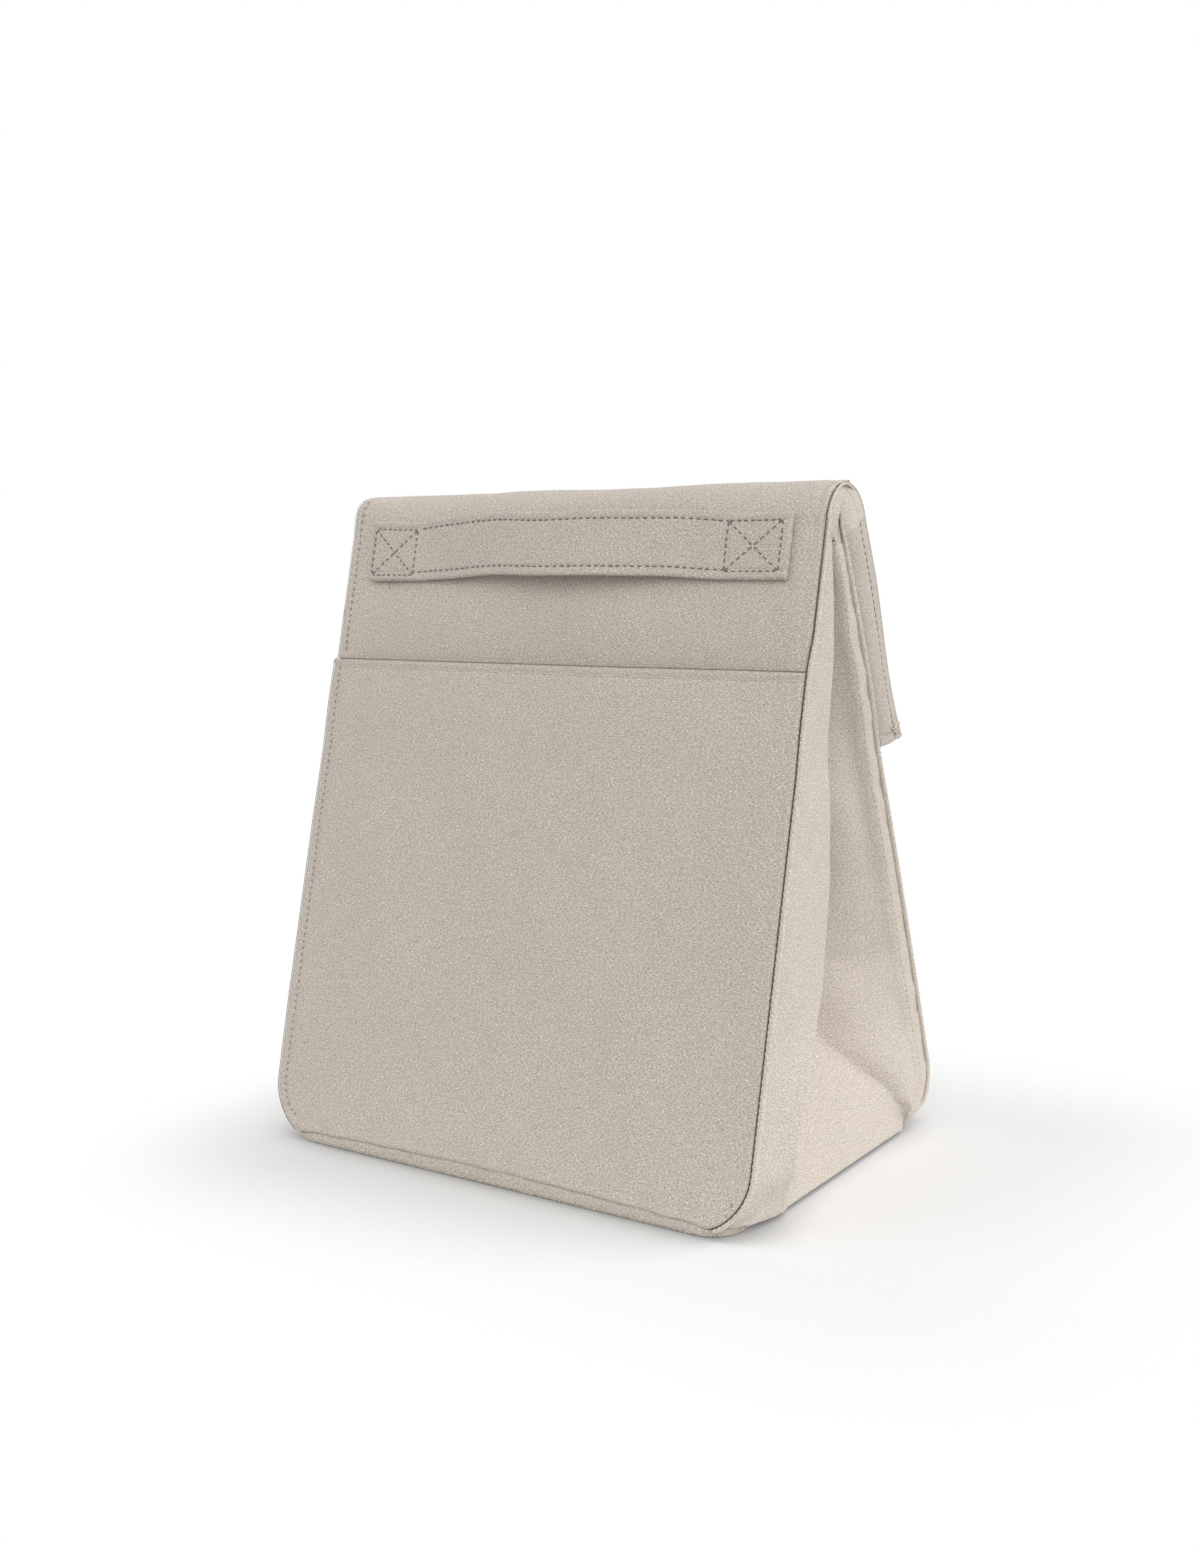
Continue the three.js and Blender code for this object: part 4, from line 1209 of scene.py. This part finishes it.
def base_outline(inset, points=10):
    x = HALF - BASE_INSET - inset - 3.0
    front = front_y(BASE_RIM) + inset + 0.5
    rear = float(rear_y(BASE_RIM)) - inset - 0.5
    r, rr = max(BASE_CORNER - inset, 1), max(BASE_REAR_CORNER - inset, 1)
    outline = []
    for cx, cy, radius, start in ((x - r, front + r, r, -90), (x - rr, rear - rr, rr, 0),
                                  (rr - x, rear - rr, rr, 90), (r - x, front + r, r, 180)):
        for a in np.radians(np.linspace(start, start + 90, points)):
            outline.append((cx + radius * math.cos(a), cy + radius * math.sin(a)))
    dense = []
    for i, a in enumerate(outline):
        b = outline[(i + 1) % len(outline)]
        count = max(1, int(math.hypot(b[0] - a[0], b[1] - a[1]) / 6))
        dense.extend((lerp(a[0], b[0], k / count), lerp(a[1], b[1], k / count)) for k in range(count))
    wider = [1.4 * float(smooth(abs(px) / 30 - 2.6) * (1 - smooth((py - front - 28) / 12))) for px, py in dense]
    return [(px + math.copysign(more, px), py) for more, (px, py) in zip(wider, dense)]


def stacked(name, rings, material, ripple=0.0):
    """Solid from closed rings one above the other, given as insets and heights."""
    reference = np.array(base_outline(0))
    loops = []
    for inset, z in rings:
        inner = np.array(base_outline(inset)) if inset < BASE_REAR_CORNER - 1 else None
        if inner is None or len(inner) != len(reference):
            inner = reference + unit(reference.mean(axis=0) - reference) * inset
        run = np.arange(len(inner)) * 2 * math.pi / len(inner)
        lift = ripple * waves(50 * np.cos(run), 50 * np.sin(run), 16, 91) * (z > 3)
        if ripple:
            front = 1 - smooth((inner[:, 1] - front_y(0) - 6) / 20)
            lift = lift + foot_lift(inner[:, 0], FOOT) * front * z / BASE_RIM
        loops.append(np.column_stack([inner, np.full(len(inner), z) + lift]))
    points = np.concatenate(loops)
    faces = face_out(points, ring_faces(len(loops), len(reference)))
    coords = np.column_stack([points[:, 0] + points[:, 1] * 0.2, points[:, 1] + points[:, 2], np.zeros(len(points))])
    return add_mesh(name, points, faces, material, coords, 40)


board_top = FABRIC + GAP + BOARD
base_foam_top = board_top + GAP + FOAM
padding_inset = FABRIC + GAP + STACK + 6
piece = stacked("base_cloth", [
    (1.9, 0), (0.9, 0.25), (0.25, 0.9), (0, 2), (-0.15, 3.6), (0, BASE_RIM - 0.3), (0.3, BASE_RIM),
    (FABRIC, BASE_RIM), (FABRIC, FABRIC + 1), (FABRIC + 0.8, FABRIC),
], MATERIALS["linen"], 0.18)
attach(piece, "fabric", "bag", "base_panel", flat=(0.238, 0.168), held="laid", rests_on=[])
for name, slot, low, high in (
    ("padding", "foam", board_top + GAP, base_foam_top),
    ("lining", "liner", base_foam_top + GAP, base_foam_top + GAP + LINER),
):
    piece = stacked(f"base_{name}", [(padding_inset, low), (padding_inset, high)], MATERIALS[slot])
    attach(piece, slot, "bag", f"base_{slot}", padded=slot == "foam", flat=(0.208, 0.140), held="laid")


# ---------------------------------------------------------------- front pocket

def pocket_out(x, z):
    """How far the pocket's face stands ahead of the front panel's."""
    w = np.maximum(corner_width(z, CORNER), 1)
    lift = (FABRIC + GAP) * smooth((z - POCKET_TOP + 4 * HEM) / (2.4 * HEM))
    belly = POCKET_BELLY * (1 - (x / w) ** 2) * smooth((z - 0.25 * POCKET_TOP) / (0.75 * POCKET_TOP))
    return GAP + FABRIC + lift + belly / FRONT_SEC


def pocket_face(x, z):
    e = edge_distance(x, z, CORNER)
    out = pocket_out(x, z) + pillow(e)
    soft = 0.5 * waves(x, z, 75, 3) + 0.16 * waves(x, z, 26, 4) + 0.07 * waves(x, z, 11, 5)
    out = out + soft * smooth(e / 12)
    top = POCKET_TOP - z
    out = out - 0.42 * bump(top - STITCH_INSET, 0.9) + 0.3 * bump(top - 1.2, 1.1)
    low = z - FOOT
    out = out + 0.35 * waves(x, z * 0.3, 13, 6) * bump(low - 3, 7)
    return np.stack([x, front_y(z) - out * FRONT_SEC, z + foot_lift(x, z)], axis=-1)


def make_pocket():
    rows = corner_rows(CORNER, POCKET_TOP, 2.8, (POCKET_TOP, POCKET_TOP - STITCH_INSET))
    x = panel_x(corner_width(rows, CORNER))
    z = spread(rows, x)
    face = pocket_face(x, z)
    thick = FABRIC + 1.1 * smooth((z - POCKET_TOP + HEM + 1) / 1.5)
    return shell("pocket_cloth", face, AHEAD, (0, thick), MATERIALS["linen"], (x, z * FRONT_SEC),
                 edge=np.minimum(POCKET_TOP - z, 5) + 0.01)


attach(make_pocket(), "fabric", "bag", "front_pocket", "pocket_hem", flat=(0.242, 0.222), held="stretched",
       area=0.0505)

# a thin dark tube behind the hem, along the pocket's open edge, is painted shadow: a dark line where shade falls
# above the hem
run = np.linspace(-HALF + 2.6, HALF - 0.8, 120)
path = pocket_face(run, np.full(run.shape, POCKET_TOP)) + np.array([0, FABRIC + 1.25, 0.12])
add_trim("pocket_edge_thread", [tube(path, 0.24, 6, AHEAD)], "seam_thread", "bag")


# ---------------------------------------------------------------- carry strap

LEFT_SEWN = STRAP_LEFT + STRAP_PATCH
RIGHT_SEWN = STRAP_RIGHT - STRAP_PATCH


def strap_face(x, v):
    """Outer face of the strap: x across the bag, v up the strap's width."""
    t = np.clip((x - LEFT_SEWN) / (RIGHT_SEWN - LEFT_SEWN), 0, 1)
    wave = np.sin(math.pi * t)
    up = STRAP_RISE * lerp(wave ** 1.2, wave ** 0.6, v / STRAP_WIDTH)
    up = up + 0.8 * v / STRAP_WIDTH * smooth((LEFT_SEWN - x) / 30)
    out = STRAP_BOW * wave ** 1.5
    edge = np.minimum(v, STRAP_WIDTH - v)
    thick = STRAP_THICKNESS + 0.5 - 0.42 * bump(edge - STITCH_INSET, 0.8) + 0.1 * bump(edge - 1.8, 1.2)
    end = np.minimum(x - STRAP_LEFT, STRAP_RIGHT - x)
    thick = thick + 0.7 * smooth((STRAP_PATCH + 1 - end) / 3) + 0.12 * waves(x, v, 16, 101)
    sag = 0.5 * waves(x, v * 0.3, 55, 102) * smooth((end - STRAP_PATCH) / 25)
    z = STRAP_BASE + v + up + sag
    return np.stack([x, front_y(z) - (GAP + thick) * FRONT_SEC - out, z], axis=-1)


def strap_half(name, low, high):
    """The strap and its sewn patch from one place across the bag to another."""
    cols = lines(low, high, 2.2, (STRAP_LEFT, STRAP_RIGHT), 2, 0.4)
    rows = lines(0, STRAP_WIDTH, 1.1, (0, STITCH_INSET, STRAP_WIDTH - STITCH_INSET, STRAP_WIDTH), 1.0, 0.35)
    x, v = np.meshgrid(cols, rows)
    end = np.minimum(x - STRAP_LEFT, STRAP_RIGHT - x)
    edge = np.minimum(np.minimum(v, STRAP_WIDTH - v), end) + 0.01
    thick = STRAP_THICKNESS + 0.3 + 0.7 * smooth((STRAP_PATCH + 1 - end) / 3)
    return shell(name, strap_face(x, v), AHEAD, (0, thick), MATERIALS["strap"], (x, v + 900), edge=edge,
                 sharp=70)


def surface_normal(face, a, b, outward):
    """Outward direction of a face given as a function, at these places on it."""
    h = 0.2
    n = unit(np.cross(face(a + h, b) - face(a - h, b), face(a, b + h) - face(a, b - h)))
    return n * np.sign(n @ np.asarray(outward, float))[..., None]


def row_on(face, a, b, outward, **settings):
    a, b = np.broadcast_arrays(np.asarray(a, float), np.asarray(b, float))
    return stitch_parts(face(a, b), surface_normal(face, a, b, outward), **settings)


def box_x(left, right, low, high, seed):
    """A sewn rectangle with both its diagonals."""
    parts = []
    corners = [(left, low), (right, low), (right, high), (left, high), (left, low)]
    runs = list(zip(corners[:-1], corners[1:])) + [(corners[0], corners[2]), (corners[1], corners[3])]
    for k, ((xa, va), (xb, vb)) in enumerate(runs):
        t = np.linspace(0, 1, 24)
        parts += row_on(strap_face, lerp(xa, xb, t), lerp(va, vb, t), AHEAD, pitch=2.9, radius=0.27,
                        seed=seed + k)
    return parts


strap_thread = {"left": [], "right": []}
MIDDLE = (STRAP_LEFT + STRAP_RIGHT) / 2
for v, seed in ((STITCH_INSET, 111), (STRAP_WIDTH - STITCH_INSET, 112)):
    for word, a, b in (("left", LEFT_SEWN - 1, MIDDLE - 0.3), ("right", MIDDLE + 0.3, RIGHT_SEWN + 1)):
        xs = np.linspace(a, b, 90)
        strap_thread[word] += row_on(strap_face, xs, np.full(90, v), AHEAD, pitch=3.2, radius=0.28, seed=seed)
strap_thread["left"] += box_x(STRAP_LEFT + 1.6, LEFT_SEWN - 2.4, 2.4, STRAP_WIDTH - 4.0, 121)
strap_thread["right"] += box_x(RIGHT_SEWN + 0.3, STRAP_RIGHT - 3.7, 3.0, STRAP_WIDTH - 3.4, 131)
for word, low, high, sewn, reach, nodes in (
    ("left", STRAP_LEFT, MIDDLE, LEFT_SEWN, SWING_REACH, ("strap_patch_left", "carry_strap")),
    ("right", MIDDLE, STRAP_RIGHT, RIGHT_SEWN, -SWING_REACH, ("strap_patch_right",)),
):
    swing = ("bag", "handle", (sewn * MM, -0.04, 0.26), ((sewn + reach) * MM, -0.04, 0.26))
    attach(strap_half(f"strap_{word}", low, high), "trim", swing, *nodes)
    add_trim(f"strap_stitches_{word}", strap_thread[word], "dark_thread", swing)


# ---------------------------------------------------------------- corded seams

def seam_cord(name, path, radii, moves, *nodes):
    """A roll of cloth with four twisted lobes, a pitch apart along the seam."""
    add_trim(name, [tube(path, radii, 16, AHEAD, 4, 2 * math.pi / CORD_PITCH, 0.14)], "cord", moves, *nodes)


def cord_path(side, radius, face_y, forward, top, off):
    """Points along a corded seam, from the bag's foot round its lower corner and up."""
    turn = np.linspace(0.35, math.pi / 2, 40)
    low = FOOT + radius * (1 - np.cos(turn))
    rows = np.concatenate([low[:-1], np.arange(low[-1], top, 0.55)])
    drop = np.clip((FOOT + radius - rows) / radius, 0, 1)
    width = corner_width(rows, radius) if radius == CORNER else rear_width(rows)
    x = width + off * np.sqrt(1 - drop ** 2)
    return np.column_stack([side * x, face_y(rows) + forward, rows - off * drop + foot_lift(x, rows)])


def roll_edge(side, x, shift):
    """Points round the edge of the roll, from the front over its top to just behind it."""
    turn = np.arange(ROLL_START, math.radians(62), -0.03)
    sink = shift - 1.2 * smooth((math.radians(112) - turn) / 0.5)
    across = x - 1.6 * smooth((math.radians(96) - turn) / 0.6)
    return np.column_stack([side * across, FOLD_Y + (FOLD_RADIUS + sink) * np.cos(turn),
                            FOLD_Z + (FOLD_RADIUS + sink) * np.sin(turn)])


def seam_front(z, above=16):
    """The face that a front seam is sewn to: the pocket's up to its top, then the panel's."""
    ahead = pocket_out(np.full(np.shape(z), HALF), z)
    return front_y(z) - FRONT_SEC * ahead * smooth((POCKET_TOP + above - z) / (above + 1))


def seam_left(z):
    return seam_front(z, 0.6)


for side, word in WORD.items():
    tuck, seam = (0, seam_front) if side > 0 else (2.4, seam_left)
    path = cord_path(side, CORNER, seam, 1.7 + 0.5 * tuck, TANGENT[1], 1.1 - tuck)
    path = np.concatenate([path, roll_edge(side, HALF + 0.95 - tuck, -1.1 - 0.5 * tuck)[1:]])
    radii = np.interp(path[:, 2], [0, 120, 200, 235, 262, 284], [1.2, 1.15, 1.0, 0.85, 0.7, 0.5])
    seam_cord(f"front_cord_{word}", path, radii, WITH_ROLL, f"front_piping_{word}")
    # the near-black tube laid in each front seam's groove is painted shadow: a dark line where the seam's shade falls
    path = cord_path(side, CORNER, seam, 0.8, TANGENT[1], 0.12)
    path = np.concatenate([path, roll_edge(side, HALF + 0.12, -0.6)[1:]])
    thickness = np.interp(path[:, 2], [0, 200, 235, 268, 284], [0.31, 0.28, 0.22, 0.18, 0.14])
    thickness = thickness * (1 if side > 0 else 0.45)
    add_trim(f"front_seam_{word}", [tube(path, thickness, 6, AHEAD)], "painted_seam_shadow", WITH_ROLL)
    path = cord_path(side, REAR_CORNER, rear_y, -0.6, NECK_TOP - 1, 0.6)
    fin = [(side * (HALF + 0.6), fin_edge(z) + 0.1, z) for z in np.arange(NECK_TOP, 271.5, 0.8)]
    path = np.concatenate([path, fin])
    radii = np.interp(path[:, 2], [0, 100, 255, 271], [0.8, 0.95, 0.95, 0.5])
    seam_cord(f"rear_cord_{word}", path, radii, "bag", f"rear_piping_{word}")


# ---------------------------------------------------------------- seam stitching

across = np.linspace(-HALF + 2.5, HALF - 2.5, 160)
threads = row_on(pocket_face, across, POCKET_TOP - STITCH_INSET, AHEAD, pitch=3.1, radius=0.3, seed=141)
add_trim("pocket_stitches", threads, "pale_thread", "bag")

for side, word in WORD.items():
    face, out = side_faces[side]
    keep = (face[:, 0, 2] > 12) & (face[:, 0, 2] < 252)
    threads = stitch_parts(face[keep, KNEE_COLUMN], out[keep, KNEE_COLUMN], pitch=3.1, radius=0.17, seed=151)
    add_trim(f"rear_stitches_{word}", threads, "pale_thread", "bag")
    face, rows = flap_faces[side]
    normals = grid_normals(face, (side, 0, 0), 12)
    column = int(np.argmin(np.abs(LOBE_SPOTS - MARGIN + 0.9)))
    row = int(np.argmin(np.abs(rows - (FLAP_LENGTH - SIDE_HEM))))
    threads = stitch_parts(face[:-3, column], normals[:-3, column], pitch=3.0, radius=0.26, seed=161)
    hem = slice(2, len(LOBE_SPOTS) - 5)
    threads += stitch_parts(face[row, hem], normals[row, hem], pitch=3.0, radius=0.26, seed=171)
    add_trim(f"flap_side_stitches_{word}", threads, "seam_thread", WITH_MOUTH)


def loose_thread(name, points, radius, material, moves):
    """A thin thread end along a smooth line through a few points."""
    points = np.array(points, float)
    t = np.arange(len(points))
    fine = np.linspace(0, len(points) - 1, 8 * len(points))
    path = np.stack([np.interp(fine, t, points[:, k]) for k in range(3)], axis=1)
    for _ in range(6):
        path[1:-1] = (path[:-2] + 2 * path[1:-1] + path[2:]) / 4
    add_trim(name, [tube(path, radius, 6, (0, -1, 0.3))], material, moves)


def above_pocket(x, s):
    return front_face(x, s, 0.1 + front_relief(x, s))


# the pocket's left edge is top-stitched with short dark stitches, and its right foot has a few tacks
heights = np.concatenate([np.linspace(POCKET_TOP - 3, FOOT + CORNER, 120),
                          FOOT + EDGE_INSET + (CORNER - EDGE_INSET) * (1 - np.sin(np.linspace(0, 1.15, 20)))])
turned = np.clip((FOOT + CORNER - heights) / (CORNER - EDGE_INSET), 0, 1)
across = HALF - CORNER + (CORNER - EDGE_INSET) * np.sqrt(np.maximum(1 - turned ** 2, 0))
threads = row_on(pocket_face, -across, heights, AHEAD, pitch=3.0, share=0.46, radius=0.26, seed=191)
lengths = np.linspace((POCKET_TOP + 3 - FOOT) * FRONT_SEC, STRAIGHT + 14, 60)
threads += row_on(above_pocket, 4.6 - HALF, lengths, (0, -1, 0.2), pitch=3.0, share=0.46, radius=0.26, seed=192)
for xa, za, xb, zb in ((112.6, 13.4, 112.0, 10.6), (110.9, 10.0, 109.9, 8.0), (113.9, 16.6, 113.8, 14.2)):
    t = np.linspace(0, 1, 8)
    threads += row_on(pocket_face, lerp(xa, xb, t), lerp(za, zb, t), AHEAD, pitch=9, radius=0.24, seed=193)
add_trim("edge_stitches", threads, "seam_thread", WITH_ROLL)

end = [(-88.6, -43.6, 247.2), (-88.0, -45.6, 245.4), (-88.9, -46.2, 243.9), (-88.2, -46.4, 242.2)]
loose_thread("thread_left", end, 0.16, "dark_thread", "bag")
for k, spots in enumerate((
    [(120.9, 38.0, 181.5), (122.0, 34.6, 182.8), (122.5, 31.6, 184.6), (122.3, 28.0, 184.0), (121.9, 26.4, 185.4)],
    [(121.6, 36.7, 186.6), (122.5, 34.0, 184.6), (122.7, 31.9, 183.2), (122.3, 30.4, 184.9), (122.6, 32.4, 186.6)],
    [(121.7, 31.4, 191.5), (122.5, 31.9, 188.2), (122.6, 33.2, 185.6), (122.4, 35.3, 183.9)],
)):
    loose_thread(f"knot_{k}", spots, 0.24, "pale_thread", WITH_MOUTH)

across = np.linspace(-HALF + 3, HALF - 3, 160)
threads = row_on(flap_face, across, FLAP_LENGTH - FLAP_HEM, (0, 1, 0.3), pitch=3.1, radius=0.3, seed=181)
add_trim("hem_stitches", threads, "pale_thread", WITH_MOUTH)


# ---------------------------------------------------------------- the left front edge

DRAWN = np.array([[0, 2.4], [25, 2.2], [60, 1.7], [140, 1.8], [200, 2.9], [260, 2.7], [285, 3.3]])


def reshape(piece, change):
    """Move a piece's points; change gets them in metres and alters them in place."""
    mesh = piece.data
    points = np.empty(len(mesh.vertices) * 3, np.float32)
    mesh.vertices.foreach_get("co", points)
    points = points.reshape(-1, 3).astype(float)
    change(points)
    mesh.vertices.foreach_set("co", points.astype(np.float32).ravel())
    mesh.update()


def drawn_in(points):
    """The left front edge stands further in."""
    x, y, z = points.T * 1000
    near = smooth((-x - 60) / 60) * (1 - smooth((y - front_y(z) - 10) / 40))
    points[:, 0] += MM * near * np.interp(z, DRAWN[:, 0], DRAWN[:, 1])


def squarer(points):
    """The roll's left end is less round in front."""
    way = points[:, 1:] * 1000 - (FOLD_Y, FOLD_Z)
    angle = np.degrees(np.arctan2(way[:, 1], way[:, 0]))
    far = np.linalg.norm(way, axis=1)
    push = 2.8 * bump(angle - 134, 24) * smooth((-points[:, 0] * 1000 - 80) / 40) * smooth((far - 8) / 8)
    points[:, 1:] += way / np.maximum(far, 1)[:, None] * push[:, None] * MM


for piece in bpy.data.objects:
    if piece.type == "MESH" and "cloth" in piece.data.attributes and not piece.name.startswith("strap"):
        reshape(piece, drawn_in)
for name in ("front_cloth", "front_padding", "front_lining", "front_cord_left", "front_seam_left", "lobe_tip_left",
             "edge_stitches"):
    reshape(bpy.data.objects[name], squarer)


# ---------------------------------------------------------------- finishes of the nodes carried over

board = bpy.data.objects["base_board"]
board.material_slots[0].link = "OBJECT"
board.material_slots[0].material = MATERIALS["board"]


# ---------------------------------------------------------------- floor and light

def make_floor():
    """White floor round the bag's foot, with painted contact shade: its colour is darkened by ambient occlusion near
    the bag. It fades out to the white world.
    """
    m = new_material("floor")
    side = m.vector("ABSOLUTE", m.vector("SUBTRACT", m.place(), (0.045, 0, 0)))
    side = m.vector("MAXIMUM", m.vector("SUBTRACT", side, (0.12, 0.09, 0)))
    away = m.add("ShaderNodeVectorMath", set_operation="LENGTH", in0=side).outputs["Value"]
    fade = m.add("ShaderNodeMapRange", set_interpolation_type="SMOOTHSTEP", Value=away,
                 **{"From Min": 0.0, "From Max": 0.12})
    # painted contact shade: the floor's colour falls from 0.84 to 0.45 where ambient occlusion finds the bag close by
    near = m.add("ShaderNodeAmbientOcclusion", set_samples=8, Distance=0.035, Color=(0.86, 0.86, 0.87, 1))
    painted_contact_shade = m.ramp(near.outputs["AO"], [(0.35, 0.45), (0.75, 0.84), (1.0, 0.84)])
    diffuse = m.add("ShaderNodeBsdfDiffuse", Color=painted_contact_shade)
    glow = m.add("ShaderNodeEmission", Color=(1, 1, 1, 1), Strength=m.maths("MULTIPLY", m.seen(), 0.08))
    lit = m.add("ShaderNodeAddShader", in0=diffuse.outputs[0], in1=glow.outputs[0])
    clear = m.add("ShaderNodeBsdfTransparent")
    mixed = m.add("ShaderNodeMixShader", Fac=fade.outputs[0], in1=lit.outputs[0], in2=clear.outputs[0])
    turn = np.linspace(0, 2 * math.pi, 96, endpoint=False)
    points = np.column_stack([1150 * np.cos(turn), 1150 * np.sin(turn), np.zeros(96)])
    add_mesh("floor", points, [tuple(range(96))], m.show(mixed))


def make_world():
    """Soft light from all round, and plain white where the world itself is seen."""
    world = bpy.data.worlds.new("world")
    bpy.context.scene.world = world
    m = Nodes(world, "ShaderNodeOutputWorld")
    soft = m.add("ShaderNodeBackground", Color=(1, 1, 1, 1), Strength=0.49)
    white = m.add("ShaderNodeBackground", Color=(1, 1, 1, 1), Strength=1)
    m.show(m.add("ShaderNodeMixShader", Fac=m.seen(), in1=soft.outputs[0], in2=white.outputs[0]))


make_floor()
make_world()
sun_lamp("side", (0.7, 0.45, 0.55), 0.54, 45, (1.0, 0.99, 0.985))
sun_lamp("corner", (0.75, -0.5, 0.42), 0.14, 45, (1, 1, 1))
sun_lamp("front", (0.45, -0.8, 0.4), 0.25, 45, (1, 1, 1))
sun_lamp("left", (-0.6, -0.6, 0.5), 0.13, 45, (0.99, 1.0, 1.0))
